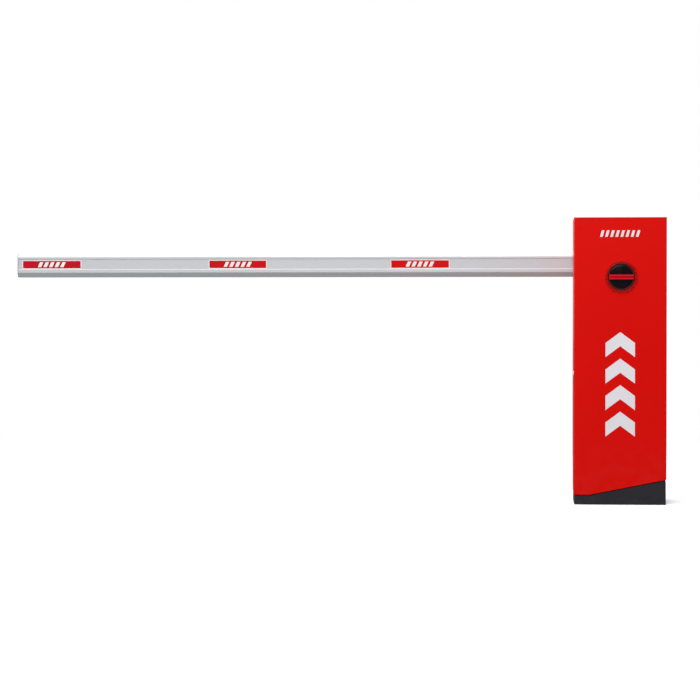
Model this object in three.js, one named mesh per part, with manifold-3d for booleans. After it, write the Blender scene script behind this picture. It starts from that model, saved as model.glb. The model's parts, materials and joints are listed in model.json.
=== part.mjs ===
// Parking barrier gate: a sheet-steel cabinet with its lifting drive, and an aluminium boom behind it.
// Millimetres, +Z up. The origin is the centre of the cabinet's footprint, on the floor.
// The door faces -Y, the boom runs along -X behind the cabinet, and it lifts by turning about +Y.

import * as THREE from 'three';
import { mergeVertices } from 'three/addons/utils/BufferGeometryUtils.js';
import Module from 'manifold-3d';

const wasm = await Module();
wasm.setup();

// ---------------------------------------------------------------- driving dimensions

const cabinetWidth = 340;
const cabinetDepth = 290;
const cabinetHeight = 1060;
const sheet = 2.5; // cabinet sheet steel
const foldRadius = 4; // outside radius of the folded edges
const touch = 0.3; // gap between two pieces that touch

const plinthLow = 37; // height of the plinth at the boom side
const plinthHigh = 93; // height of the plinth at the far side
const plinthFlat = 59; // level stretch before the edge starts to rise
const plinthInset = 2;
const plinthGap = 3; // shadow gap between the plinth and the red shell
const plinthWall = 3;

const doorDepth = 21;
const sealGap = 4; // between the door's back edge and the body's front frame
const frameLip = 16; // inward return of the body's front frame
const frameSill = 17; // front frame above the plinth's high end
const gasketWidth = 5;
const gasketDepth = 6.5;
const gasketInset = 10.5;
const lidHeight = 8;
const lidDrop = 2; // the lid sits this far below the door's top edge
const lidSkirt = 10;

const hingePinRadius = 2.5;
const hingeRunning = 0.3;
const hingeInset = 5; // pin axis to the cabinet's side face
const hingeKnuckleRadius = 4.4;
const hingeKnuckleLength = 20;
const hingeLugThickness = 6;
const hingeLowerZ = 140;
const hingeUpperDrop = 60; // upper hinge below the cabinet top

const lockDrop = 415; // lock axis below the main shaft
const lockSetback = 20; // lock axis behind the body's front frame
const lockCaseRadius = 11;
const lockCaseLength = 20;
const lockPlugRadius = 4.7;
const lockFingerLength = 28;
const lockFingerWidth = 10;
const lockFingerThickness = 3;

const lampDrop = 220; // lamp centre below the cabinet top
const lampX = 4; // lamp centre beside the door's middle
const lampRadius = 47; // hole in the door
const lampRimWall = 3;
const lampDepth = 38;
const bezelWidth = 14;
const bezelThickness = 1.5;
const bezelRibs = 54;
const bezelRibWidth = 2.4;
const bezelRibHeight = 1.6;
const lampBarHeight = 18;
const lampBarThickness = 2.4;
const lensThickness = 3;
const boardSetback = 20; // behind the door's face
const boardThickness = 2;

const baseThickness = 8;
const anchorInsetX = 27; // anchor axis to the cabinet's side
const anchorInsetY = 50; // anchor axis to the cabinet's front or rear
const anchorRadius = 6;
const anchorWasherRadius = 14;
const anchorWasherThickness = 2.5;
const anchorNutRadius = 10.5;
const anchorNutHeight = 10;
const anchorStudRise = 20; // stud above its nut
const glandX = 60;
const glandY = -30;
const glandBore = 10;
const glandWall = 10;
const glandCollar = 6; // overhang of the gland's collar
const glandCollarHeight = 10;
const glandHeight = 28;
const capacitorX = -80;
const capacitorRadius = 21;
const capacitorHeight = 96;

const chassisClearance = 9; // chassis side to the anchors' washers
const chassisPlate = 5;
const chassisTopDrop = 120; // chassis top below the cabinet top
const chassisFlangeDepth = 62;
const chassisHeadDepth = 118; // deeper side flanges beside the bearings
const chassisHeadDrop = 240;
const chassisFootDepth = 72;

const shaftDrop = 165; // main shaft below the cabinet top
const shaftRadius = 17.5;
const shaftRoom = 12.5; // round the shaft, in the cabinet's rear wall
const rodLength = 360; // pin to pin, and main shaft to crank axis
const crankRadius = 60;
const springArmRadius = 45;
const armThickness = 8;
const armPlane = 140; // back face of the rocker, in front of the chassis plate
const armRoot = 22;
const armTip = 16;
const armAngle = THREE.MathUtils.degToRad(225); // rod arm with the boom down, from +X towards +Z
const hubWall = 10.5;
const pinRadius = 6;
const pinHead = 3; // thickness and overhang of a pin's head
const rodThickness = 10;
const rodEndRadius = 14;
const rodSideGap = 4;
const pivotClearance = 0.5;

const shelfThickness = 6;
const shelfBelowShaft = 43;
const shelfDepth = 116;
const bearingDepth = 20;
const bearingRadius = 34;
const bearingFrontPlane = 96;
const bearingRearPlane = 26;
const stopBufferRadius = 10;
const stopPinRadius = 5;
const stopReach = 55; // where the rocker's arm meets the buffers
const stopGap = 0.4;
const stopPlateHalf = 60;
const stopPlateRise = 78; // above and below the shaft
const camWidth = 6;
const camWall = 8.5;
const camNose = 14.5; // reach of the cam's nose past the shaft
const camPlanes = [68, 52];
const rollerRadius = 4;
const rollerGap = 2;
const switchDepth = 20;
const switchHeight = 22; // above the shaft's axis

const gearboxWidth = 110;
const gearboxDepth = 112;
const gearboxHeight = 120;
const outputShaftRadius = 12.5;
const outputDepth = 38; // of the output shaft inside the gearbox
const motorRadius = 52;
const motorFlangeRadius = 59;
const motorLength = 185;
const motorPlane = 67; // motor axis in front of the chassis plate
const motorStep = 4; // the plain ends are smaller than the barrel
const motorStubRadius = 8;
const handWheelRadius = 45;
const handWheelGap = 8;
const handWheelDepth = 18;
const handWheelHub = 16;
const handWheelRim = 9;

const yokeThickness = 6;
const yokeWidth = 40;
const yokeSlotHeight = 14;
const springRadius = 18;
const springInner = 13;
const springTopDrop = 98; // below the main shaft
const springFootRise = 58; // spring's lower end above its bracket
const springPlugLength = 18;
const springBracketDrop = 93; // bracket's top below the crank's axis
const springBracketThickness = 6;
const springBracketHalf = 22;
const tensionBoltRadius = 6;
const tensionBoltReach = 45; // below the bracket
const tensionNutRadius = 11;
const tensionNutHeight = 10;

const boomLength = 2400;
const boomTail = 80; // boom past the shaft on its short side
const boomHeight = 96;
const boomThickness = 45;
const boomChamferHeight = 17.7;
const boomChamferDepth = 11;
const boomWall = 2;
const boomRecessHeight = 39.5;
const boomRecessDepth = 1.5;
const boomRecessOffset = 2; // recess centre above the section's centre
const boomCapFlange = 3;
const boomCapPlug = 25;
const boomBracketPlane = 7; // bracket hub behind the cabinet's rear wall
const boomHubLength = 16;
const boomHubRadius = 40;
const boomPlateThickness = 8;
const boomPlateLength = 200;
const boomBoltX = 80;
const boomBoltMargin = 10; // bolt centre above the boom's top face
const boomBoltHole = 6.6;

const controlBoxWidth = 120;
const controlBoxDepth = 55;
const controlBoxHeight = 180;
const controlBoxDrop = 115; // box top below the main shaft
const controlBoxGap = 19.4; // equipment plate's back face in front of the connecting rod
const controlBoxWall = 3;
const controlSideGap = 15;
const breakerWidth = 36;
const breakerHeight = 85;
const breakerDepth = 60;
const breakerShoulder = 16; // the breaker's ends stand back from its nose
const breakerNoseHalf = 22;
const toggleHubRadius = 5.2;
const toggleHalf = 11;

// ---------------------------------------------------------------- derived places

const halfWidth = cabinetWidth / 2;
const frontY = -cabinetDepth / 2;
const rearY = cabinetDepth / 2;
const doorBackY = frontY + doorDepth;
const bodyFrontY = doorBackY + sealGap;
const lidTop = cabinetHeight - lidDrop;
const bodyTop = lidTop - lidHeight - touch;
const sillTop = plinthHigh + frameSill;
const chassisBack = rearY - plinthInset - plinthWall - touch;
const chassisFront = chassisBack - chassisPlate;
const chassisHalf = halfWidth - anchorInsetX - anchorWasherRadius - chassisClearance;
const floorTop = baseThickness + touch;
const shaftZ = cabinetHeight - shaftDrop;
const crankZ = shaftZ - rodLength;
const shaftHole = shaftRadius + shaftRoom;
const hubRadius = shaftRadius + hubWall;
const camRadius = shaftRadius + camWall;
const armBackY = chassisFront - armPlane;
const armFrontY = armBackY - armThickness;
const rodBackY = armFrontY - rodSideGap;
const rodFrontY = rodBackY - rodThickness;
const yokeBackY = armFrontY - rodSideGap;
const yokeFrontY = yokeBackY - yokeThickness;
const shelfTop = shaftZ - shelfBelowShaft;
const shelfFrontY = chassisFront - shelfDepth;
const rodPinX = crankRadius * Math.cos(armAngle);
const rodPinDrop = crankRadius * Math.sin(armAngle);
const springPinX = springArmRadius * Math.cos(armAngle + Math.PI);
const springPinRise = springArmRadius * Math.sin(armAngle + Math.PI);
const springX = (springPinX + springArmRadius) / 2;
const springY = yokeBackY - springRadius;
const springTop = shaftZ - springTopDrop;
const bracketTop = crankZ - springBracketDrop;
const springBottom = bracketTop + springFootRise;
const gearboxFrontY = chassisFront - gearboxDepth;
const motorY = chassisFront - motorPlane;
const motorTop = crankZ - gearboxHeight / 2 - touch;
const motorBottom = motorTop - motorLength;
const lampZ = cabinetHeight - lampDrop;
const bezelRadius = lampRadius + bezelWidth;
const lockY = bodyFrontY + lockSetback;
const lockZ = shaftZ - lockDrop;
const hingeX = halfWidth - hingeInset;
const hingeY = doorBackY - 1.5;
const hingeUpperZ = cabinetHeight - hingeUpperDrop;
const boomFrontY = rearY + boomBracketPlane + boomHubLength + boomPlateThickness + touch;
const boomBackY = boomFrontY + boomThickness;
const boomBoltRise = boomHeight / 2 + boomBoltMargin;
const boomTailX = boomTail;
const boomTipX = boomTail - boomLength;

// ---------------------------------------------------------------- shape helpers

// A closed geometry as a solid that can be joined and cut.
function solid(geometry) {
  const bare = geometry.clone();
  bare.deleteAttribute('normal');
  bare.deleteAttribute('uv');
  const merged = mergeVertices(bare, 1e-4);
  const vertProperties = new Float32Array(merged.attributes.position.array);
  const triVerts = new Uint32Array(merged.index.array);
  return new wasm.Manifold(new wasm.Mesh({ numProp: 3, vertProperties, triVerts }));
}

function geometryOf(manifold) {
  const mesh = manifold.getMesh();
  const geometry = new THREE.BufferGeometry();
  geometry.setAttribute('position', new THREE.BufferAttribute(mesh.vertProperties, 3));
  geometry.setIndex(new THREE.BufferAttribute(mesh.triVerts, 1));
  geometry.computeVertexNormals();
  return geometry;
}

const join = (...pieces) => pieces.reduce((whole, piece) => whole.add(piece));
const cut = (whole, ...tools) => tools.reduce((rest, tool) => rest.subtract(tool), whole);

function box(x0, x1, y0, y1, z0, z1) {
  const geometry = new THREE.BoxGeometry(x1 - x0, y1 - y0, z1 - z0);
  geometry.translate((x0 + x1) / 2, (y0 + y1) / 2, (z0 + z1) / 2);
  return solid(geometry);
}

// A round bar between two places along one axis; `sides` of 6 makes a hexagon.
function bar(axis, radius, from, to, centre, sides = 24) {
  const geometry = new THREE.CylinderGeometry(radius, radius, to - from, sides);
  const middle = (from + to) / 2;
  if (axis === 'x') {
    geometry.rotateZ(-Math.PI / 2);
    geometry.translate(middle, centre[0], centre[1]);
  } else if (axis === 'y') {
    geometry.translate(centre[0], middle, centre[1]);
  } else {
    geometry.rotateX(Math.PI / 2);
    geometry.translate(centre[0], centre[1], middle);
  }
  return solid(geometry);
}

// Outline in XY, raised along Z.
function raise(shape, z0, z1, curveSegments = 6) {
  const geometry = new THREE.ExtrudeGeometry(shape, { depth: z1 - z0, bevelEnabled: false, curveSegments });
  geometry.translate(0, 0, z0);
  return solid(geometry);
}

// Outline in XZ, run along Y.
function runY(shape, y0, y1, curveSegments = 8) {
  const geometry = new THREE.ExtrudeGeometry(shape, { depth: y1 - y0, bevelEnabled: false, curveSegments });
  geometry.rotateX(Math.PI / 2);
  geometry.translate(0, y1, 0);
  return solid(geometry);
}

// Outline in YZ, run along X.
function runX(shape, x0, x1) {
  const depth = x1 - x0;
  const geometry = new THREE.ExtrudeGeometry(shape, { depth, bevelEnabled: false, curveSegments: 6 });
  const turn = new THREE.Matrix4();
  turn.makeBasis(new THREE.Vector3(0, 1, 0), new THREE.Vector3(0, 0, 1), new THREE.Vector3(1, 0, 0));
  geometry.applyMatrix4(turn);
  geometry.translate(x0, 0, 0);
  return solid(geometry);
}

// A turned piece about a line along Z (or along Y), from [radius, place] points that close on themselves.
function turned(profile, centre, axis = 'z', segments = 28) {
  const points = profile.map(([radius, place]) => new THREE.Vector2(radius, place));
  const geometry = new THREE.LatheGeometry(points, segments);
  if (axis === 'z') {
    geometry.rotateX(Math.PI / 2);
    geometry.translate(centre[0], centre[1], 0);
  } else {
    geometry.translate(centre[0], 0, centre[1]);
  }
  const whole = solid(geometry);
  return whole.volume() < 0 ? solid(flipped(geometry)) : whole;
}

function flipped(geometry) {
  const copy = geometry.toNonIndexed();
  const place = copy.attributes.position;
  for (let i = 0; i < place.count; i += 3) {
    const a = new THREE.Vector3().fromBufferAttribute(place, i);
    const b = new THREE.Vector3().fromBufferAttribute(place, i + 1);
    place.setXYZ(i, b.x, b.y, b.z);
    place.setXYZ(i + 1, a.x, a.y, a.z);
  }
  return copy;
}

const outline = (points) => new THREE.Shape(points.map(([a, b]) => new THREE.Vector2(a, b)));

// A rectangle whose corners are rounded by the given radii: low-low, high-low, high-high, low-high.
function roundedRectangle(x0, x1, y0, y1, radii) {
  const [a, b, c, d] = radii;
  const shape = new THREE.Shape();
  shape.moveTo(x0 + a, y0);
  shape.lineTo(x1 - b, y0);
  if (b > 0) shape.absarc(x1 - b, y0 + b, b, -Math.PI / 2, 0, false);
  shape.lineTo(x1, y1 - c);
  if (c > 0) shape.absarc(x1 - c, y1 - c, c, 0, Math.PI / 2, false);
  shape.lineTo(x0 + d, y1);
  if (d > 0) shape.absarc(x0 + d, y1 - d, d, Math.PI / 2, Math.PI, false);
  shape.lineTo(x0, y0 + a);
  if (a > 0) shape.absarc(x0 + a, y0 + a, a, Math.PI, 1.5 * Math.PI, false);
  return shape;
}

// A flat link with two round ends.
function link(x0, z0, r0, x1, z1, r1) {
  const length = Math.hypot(x1 - x0, z1 - z0);
  const heading = Math.atan2(z1 - z0, x1 - x0);
  const spread = Math.acos((r0 - r1) / length);
  const shape = new THREE.Shape();
  shape.absarc(x1, z1, r1, heading - spread, heading + spread, false);
  shape.absarc(x0, z0, r0, heading + spread, heading - spread + 2 * Math.PI, false);
  shape.closePath();
  return shape;
}

// The front outline of the red shell in XZ, drawn in by a margin: its lower edge is level, then rises.
function faceOutline(margin, top) {
  const low = plinthLow + margin;
  const high = plinthHigh + margin;
  return outline([
    [-halfWidth + margin, low],
    [-halfWidth + plinthFlat, low],
    [halfWidth - margin, high],
    [halfWidth - margin, top - margin],
    [-halfWidth + margin, top - margin],
  ]);
}

// ---------------------------------------------------------------- finishes

const finish = (color, roughness, metalness) => ({ color, roughness, metalness });
const redPaint = finish(0xd20e06, 0.3, 0.1);
const charcoalPaint = finish(0x26252c, 0.55, 0.2);
const zincSteel = finish(0xa8abb0, 0.4, 0.9);
const darkSteel = finish(0x55585c, 0.45, 0.9);
const castIron = finish(0x4a4e52, 0.6, 0.7);
const anodised = finish(0xcdced4, 0.35, 0.85);
const blackPlastic = finish(0x14141a, 0.5, 0);
const greyPlastic = finish(0x9a9da2, 0.55, 0);
const blackRubber = finish(0x1a1a1a, 0.85, 0);
const redLens = finish(0xaa0c14, 0.25, 0);
const smokedLens = finish(0x140f12, 0.2, 0);
const boardGreen = finish(0x1d5a34, 0.6, 0);

const barrier = new THREE.Group();

function place(name, shape, look, position = [0, 0, 0], parent = barrier) {
  const geometry = shape.isBufferGeometry ? shape : geometryOf(shape);
  const mesh = new THREE.Mesh(geometry, new THREE.MeshStandardMaterial(look));
  mesh.name = name;
  mesh.position.set(...position);
  parent.add(mesh);
  return mesh;
}

// ---------------------------------------------------------------- base plate, anchors, gland, plinth

function basePlate() {
  const halfX = halfWidth - plinthInset - plinthWall - touch;
  const halfY = cabinetDepth / 2 - plinthInset - plinthWall - touch;
  const plate = box(-halfX, halfX, -halfY, halfY, 0, baseThickness);
  const holes = anchorPlaces().map(([x, y]) => bar('z', anchorRadius + 1, -1, baseThickness + 1, [x, y], 16));
  const glandHole = bar('z', glandBore + glandWall + touch, -1, baseThickness + 1, [glandX, glandY]);
  return cut(plate, ...holes, glandHole);
}

function anchorPlaces() {
  const x = halfWidth - anchorInsetX;
  const y = cabinetDepth / 2 - anchorInsetY;
  return [[-x, -y], [x, -y], [-x, y], [x, y]];
}

// Stud, washer and nut of one floor anchor, about its own axis.
function anchorBolt() {
  const washerTop = floorTop + anchorWasherThickness;
  const nutTop = washerTop + anchorNutHeight;
  const stud = bar('z', anchorRadius, touch, nutTop + anchorStudRise, [0, 0], 12);
  const washer = bar('z', anchorWasherRadius, floorTop, washerTop, [0, 0], 16);
  const nut = bar('z', anchorNutRadius, washerTop, nutTop, [0, 0], 6);
  return join(stud, washer, nut);
}

// Threaded shank through the plate, a collar on it, and a cap that narrows to the cable's bore.
function cableGland() {
  const shank = glandBore + glandWall;
  const collar = shank + glandCollar;
  const cap = collar - 4;
  const collarTop = floorTop + glandCollarHeight;
  const top = floorTop + glandHeight;
  return turned([
    [glandBore, touch],
    [shank, touch],
    [shank, floorTop],
    [collar, floorTop],
    [collar, collarTop],
    [cap, collarTop + 2],
    [cap, top - 6],
    [glandBore + 3, top],
    [glandBore, top],
    [glandBore, touch],
  ], [0, 0]);
}

// Skirt with a slanted top edge, lowered at the hinge corner so that the door's heel swings over it.
function plinth() {
  const halfX = halfWidth - plinthInset;
  const halfY = cabinetDepth / 2 - plinthInset;
  const radii = [foldRadius, foldRadius, foldRadius, foldRadius];
  const block = raise(roundedRectangle(-halfX, halfX, -halfY, halfY, radii), 0, plinthHigh);
  const side = outline([
    [-halfWidth, 0],
    [halfWidth, 0],
    [halfWidth, plinthHigh - plinthGap],
    [-halfWidth + plinthFlat, plinthLow - plinthGap],
    [-halfWidth, plinthLow - plinthGap],
  ]);
  const slanted = block.intersect(runY(side, -halfY - 1, halfY + 1));
  const innerX = halfX - plinthWall;
  const innerY = halfY - plinthWall;
  const room = box(-innerX, innerX, -innerY, innerY, -1, plinthHigh);
  const rise = (plinthHigh - plinthLow) / (cabinetWidth - plinthFlat);
  const reliefZ = plinthHigh - rise * (doorDepth + hingeInset) - plinthGap;
  const doorRelief = box(hingeX - 3, halfWidth, -halfY - 1, bodyFrontY + 2, reliefZ, plinthHigh);
  return cut(slanted, room, doorRelief);
}

place('base_plate', basePlate(), darkSteel);
place('plinth', plinth(), charcoalPaint);
anchorPlaces().forEach(([x, y], index) => {
  place(`anchor_bolt_${index + 1}`, anchorBolt(), zincSteel, [x, y, 0]);
});
place('cable_gland', cableGland(), blackPlastic, [glandX, glandY, 0]);

// ---------------------------------------------------------------- chassis and bearing shelf

function chassis() {
  const top = cabinetHeight - chassisTopDrop;
  const headZ = cabinetHeight - chassisHeadDrop;
  const back = box(-chassisHalf, chassisHalf, chassisFront, chassisBack, floorTop, top);
  const foot = box(-chassisHalf, chassisHalf, chassisBack - chassisFootDepth, chassisBack, floorTop,
    floorTop + chassisPlate);
  const flange = outline([
    [chassisFront - chassisFlangeDepth, floorTop],
    [chassisBack, floorTop],
    [chassisBack, top],
    [chassisFront - chassisHeadDepth, top],
    [chassisFront - chassisHeadDepth, headZ],
    [chassisFront - chassisFlangeDepth, headZ - 60],
  ]);
  const left = runX(flange, -chassisHalf, -chassisHalf + chassisPlate);
  const right = runX(flange, chassisHalf - chassisPlate, chassisHalf);
  const shaftOpening = bar('y', shaftHole + 2, chassisFront - 1, chassisBack + 1, [0, shaftZ]);
  return cut(join(back, foot, left, right), shaftOpening);
}

// Buffer places, so that the rocker's arm rests against one with the boom down and the other with it up.
function stopPlace(raised) {
  const taper = Math.asin((armRoot - armTip) / crankRadius);
  const offset = (stopBufferRadius + stopGap + armRoot - stopReach * Math.sin(taper)) / Math.cos(taper);
  const angle = raised ? armAngle - Math.PI / 2 : armAngle;
  const side = raised ? -1 : 1;
  const x = stopReach * Math.cos(angle) - side * offset * Math.sin(angle);
  const z = stopReach * Math.sin(angle) + side * offset * Math.cos(angle);
  return [x, shaftZ + z];
}

// Shelf under the bearings; the plate welded across its front edge carries the stop pins.
function bearingShelf() {
  const half = chassisHalf - chassisPlate - touch;
  const shelfLow = shelfTop - shelfThickness;
  const shelf = box(-half, half, shelfFrontY - shelfThickness, chassisFront - touch, shelfLow, shelfTop);
  const stopPlate = box(-stopPlateHalf, stopPlateHalf, shelfFrontY - shelfThickness, shelfFrontY,
    shaftZ - stopPlateRise, shaftZ + stopPlateRise);
  const shaftOpening = bar('y', shaftRadius + 6, shelfFrontY - 10, shelfFrontY + 1, [0, shaftZ]);
  const pins = [stopPlace(false), stopPlace(true)].map((centre) =>
    bar('y', stopPinRadius, armFrontY - 3, shelfFrontY - 1, centre, 20));
  return join(cut(join(shelf, stopPlate), shaftOpening), ...pins);
}

function stopBuffer(centre) {
  const sleeve = bar('y', stopBufferRadius, armFrontY - 1, armBackY + 1, centre, 28);
  const bore = bar('y', stopPinRadius + touch, armFrontY - 2, armBackY + 2, centre, 20);
  return cut(sleeve, bore);
}

// Pillow block about the shaft's axis, standing on the shelf.
function pillowBlock() {
  const halfDepth = bearingDepth / 2;
  const footHalf = bearingRadius + 14;
  const webHalf = bearingRadius - 4;
  const footTop = -shelfBelowShaft + 12;
  const foot = box(-footHalf, footHalf, -halfDepth, halfDepth, -shelfBelowShaft + touch, footTop);
  const web = box(-webHalf, webHalf, -halfDepth, halfDepth, -shelfBelowShaft + touch, 0);
  const ring = bar('y', bearingRadius, -halfDepth, halfDepth, [0, 0]);
  const bore = bar('y', shaftRadius + touch, -halfDepth - 1, halfDepth + 1, [0, 0]);
  const boltX = footHalf - 9;
  const boltHoles = [-boltX, boltX].map((x) => bar('z', 5, -shelfBelowShaft - 1, footTop + 11, [x, 0], 16));
  return cut(join(foot, web, ring), bore, ...boltHoles);
}

place('chassis', chassis(), zincSteel);
place('bearing_shelf', bearingShelf(), zincSteel);
place('stop_buffer_down', stopBuffer(stopPlace(false)), blackRubber);
place('stop_buffer_up', stopBuffer(stopPlace(true)), blackRubber);
[['front', bearingFrontPlane], ['rear', bearingRearPlane]].forEach(([name, plane]) => {
  place(`bearing_${name}`, pillowBlock(), castIron, [0, chassisFront - plane + bearingDepth / 2, shaftZ]);
});

// ---------------------------------------------------------------- main shaft, rocker, pins and cams

function rocker() {
  const rodArm = runY(link(0, 0, armRoot, rodPinX, rodPinDrop, armTip), armFrontY, armBackY);
  const springArm = runY(link(0, 0, armRoot, springPinX, springPinRise, armTip - 2), armFrontY, armBackY);
  const hub = bar('y', hubRadius, armFrontY - 2, armBackY + 2, [0, 0]);
  const bore = bar('y', shaftRadius + touch, armFrontY - 3, armBackY + 3, [0, 0]);
  const rodHole = bar('y', pinRadius + touch, armFrontY - 1, armBackY + 1, [rodPinX, rodPinDrop], 24);
  const springPin = [springPinX, springPinRise];
  const springHole = bar('y', pinRadius - 1 + touch, armFrontY - 1, armBackY + 1, springPin, 24);
  return cut(join(rodArm, springArm, hub), bore, rodHole, springHole);
}

// Headed pin along Y, pressed in an arm and standing out in front of it.
function armPin(radius, carried) {
  const headBack = armFrontY - rodSideGap - carried - 1;
  const shank = bar('y', radius, headBack, armBackY, [0, 0], 20);
  const head = bar('y', radius + pinHead, headBack - pinHead, headBack, [0, 0]);
  return join(shank, head);
}

function limitCam(noseAngle) {
  const disc = bar('y', camRadius, 0, camWidth, [0, 0]);
  const noseRadius = 5;
  const reach = shaftRadius + camNose - noseRadius;
  const tip = [reach * Math.cos(noseAngle), reach * Math.sin(noseAngle)];
  const nose = runY(link(0, 0, 12, ...tip, noseRadius), 0, camWidth);
  const bore = bar('y', shaftRadius + touch, -1, camWidth + 1, [0, 0]);
  return cut(join(disc, nose), bore);
}

// Switch on the shelf, its roller beside the cam. Local origin on the shaft's axis, at the cam's front face.
function limitSwitch() {
  const middle = camWidth / 2;
  const rollerX = shaftRadius + camNose + rollerGap + rollerRadius;
  const bodyX = rollerX + 2 * rollerRadius;
  const foot = -shelfBelowShaft + touch;
  const body = box(bodyX, bodyX + switchDepth, middle - 6, middle + 6, foot, switchHeight);
  const lever = box(rollerX + 2, bodyX + 0.5, middle - 3, middle + 3, -rollerRadius, rollerRadius);
  const roller = bar('y', rollerRadius, middle - 3, middle + 3, [rollerX, 0], 20);
  return join(body, lever, roller);
}

place('main_shaft', bar('y', shaftRadius, armFrontY - 2, rearY + boomBracketPlane + boomHubLength - touch,
  [0, shaftZ]), darkSteel);
place('rocker', rocker(), zincSteel, [0, 0, shaftZ]);
place('rod_pin_upper', armPin(pinRadius, rodThickness), darkSteel, [rodPinX, 0, shaftZ + rodPinDrop]);
place('yoke_pin', armPin(pinRadius - 1, yokeThickness), darkSteel, [springPinX, 0, shaftZ + springPinRise]);
['down', 'up'].forEach((name, index) => {
  const camY = chassisFront - camPlanes[index];
  const noseAngle = index === 0 ? 0.35 : Math.PI / 2 + 0.35;
  place(`limit_cam_${name}`, limitCam(noseAngle), blackPlastic, [0, camY, shaftZ]);
  place(`limit_switch_${name}`, limitSwitch(), greyPlastic, [0, camY, shaftZ]);
});

// ---------------------------------------------------------------- gearbox, motor, crank, rod

function gearbox() {
  const half = gearboxWidth / 2;
  const halfHeight = gearboxHeight / 2;
  const back = chassisFront - touch;
  const coverDepth = 8;
  const earReach = half + 16;
  const earHalf = halfHeight - 12;
  const block = raise(roundedRectangle(-half, half, gearboxFrontY + coverDepth, back, [10, 10, 2, 2]),
    crankZ - halfHeight, crankZ + halfHeight);
  const cover = bar('y', half - 7, gearboxFrontY, gearboxFrontY + coverDepth + 2, [0, crankZ], 40);
  const ear = box(-earReach, earReach, back - 10, back, crankZ - earHalf, crankZ + earHalf);
  const boreEnd = gearboxFrontY + outputDepth + 2;
  const bore = bar('y', outputShaftRadius + touch, gearboxFrontY - 1, boreEnd, [0, crankZ]);
  return cut(join(block, cover, ear), bore);
}

function motor() {
  const neck = motorRadius - motorStep;
  const barrelLow = motorBottom + 22;
  const barrelHigh = motorTop - 26;
  const flangeLow = motorTop - 10;
  const body = turned([
    [0, motorBottom],
    [neck - 6, motorBottom],
    [neck, motorBottom + 8],
    [neck, barrelLow],
    [motorRadius, barrelLow],
    [motorRadius, barrelHigh],
    [neck, barrelHigh],
    [neck, flangeLow],
    [motorFlangeRadius, flangeLow],
    [motorFlangeRadius, motorTop],
    [0, motorTop],
  ], [0, motorY], 'z', 32);
  const bore = bar('z', motorStubRadius + touch, motorBottom - 1, barrelLow - 2, [0, motorY], 24);
  return cut(body, bore);
}

// Hand wheel with its stub shaft, about its own axis; z runs from the motor's lower end.
function handWheel() {
  const top = -handWheelGap;
  const low = top - handWheelDepth;
  const webTop = top - 5;
  const webLow = webTop - 6;
  const rim = handWheelRadius - handWheelRim;
  const wheel = turned([
    [0, low],
    [handWheelHub, low],
    [handWheelHub, webLow],
    [rim, webLow],
    [rim + 2, low],
    [handWheelRadius - 2, low],
    [handWheelRadius, low + 3],
    [handWheelRadius, top - 4],
    [handWheelRadius - 3, top],
    [rim + 2, top],
    [rim, webTop],
    [handWheelHub, webTop],
    [handWheelHub - 2, top],
    [motorStubRadius, top],
    [motorStubRadius, 2 * motorStubRadius],
    [0, 2 * motorStubRadius],
  ], [0, 0], 'z', 28);
  const windowReach = (handWheelHub + rim) / 2;
  const windows = [0, 1, 2].map((k) => {
    const angle = (k * 2 * Math.PI) / 3;
    const centre = [windowReach * Math.cos(angle), windowReach * Math.sin(angle)];
    return bar('z', 8, low - 1, top + 1, centre, 20);
  });
  return cut(wheel, ...windows);
}

function crank() {
  const arm = runY(link(0, 0, armRoot, rodPinX, rodPinDrop, armTip), armFrontY, armBackY);
  const hub = bar('y', hubRadius - 2, armFrontY - 2, gearboxFrontY - 2, [0, 0]);
  const shaft = bar('y', outputShaftRadius, armBackY, gearboxFrontY + outputDepth, [0, 0]);
  const hole = bar('y', pinRadius + touch, armFrontY - 1, armBackY + 1, [rodPinX, rodPinDrop], 24);
  return cut(join(arm, hub, shaft), hole);
}

function connectingRod() {
  const bottom = crankZ + rodPinDrop;
  const top = shaftZ + rodPinDrop;
  const web = box(rodPinX - 9, rodPinX + 9, rodFrontY + 1, rodBackY - 1, bottom, top);
  const ends = [bottom, top].map((z) => bar('y', rodEndRadius, rodFrontY, rodBackY, [rodPinX, z]));
  const bores = [[bottom, touch], [top, pivotClearance]].map(([z, clearance]) =>
    bar('y', pinRadius + clearance, rodFrontY - 1, rodBackY + 1, [rodPinX, z]));
  return cut(join(web, ...ends), ...bores);
}

place('gearbox', gearbox(), castIron);
place('motor', motor(), castIron);
place('hand_wheel', handWheel(), blackPlastic, [0, motorY, motorBottom]);
place('crank', crank(), zincSteel, [0, 0, crankZ]);
place('rod_pin_lower', armPin(pinRadius, rodThickness), darkSteel, [rodPinX, 0, crankZ + rodPinDrop]);
place('connecting_rod', connectingRod(), zincSteel);

// ---------------------------------------------------------------- balance spring and its ends

// Plate with a level slot for the rocker's pin; its foot turns forward over the spring.
function springYoke() {
  const half = yokeWidth / 2;
  const foot = box(springX - half, springX + half, yokeBackY - 2 * springRadius, yokeBackY, springTop + touch,
    springTop + touch + yokeThickness);
  const plate = box(springX - half, springX + half, yokeFrontY, yokeBackY, springTop + touch, shaftZ + 55);
  const slotHalf = (springArmRadius - springPinX) / 2 + pinRadius + 1;
  const slotZ = shaftZ + springPinRise;
  const radius = yokeSlotHeight / 2;
  const slot = link(springX - slotHalf + radius, slotZ, radius, springX + slotHalf - radius, slotZ, radius);
  return cut(join(foot, plate), runY(slot, yokeFrontY - 1, yokeBackY + 1));
}

function balanceSpring() {
  const sleeve = bar('z', springRadius, springBottom, springTop, [springX, springY]);
  const bore = bar('z', springInner, springBottom - 1, springTop + 1, [springX, springY]);
  return cut(sleeve, bore);
}

function springPlug(bottom) {
  return bar('z', springInner - touch, bottom, bottom + springPlugLength, [springX, springY]);
}

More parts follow.
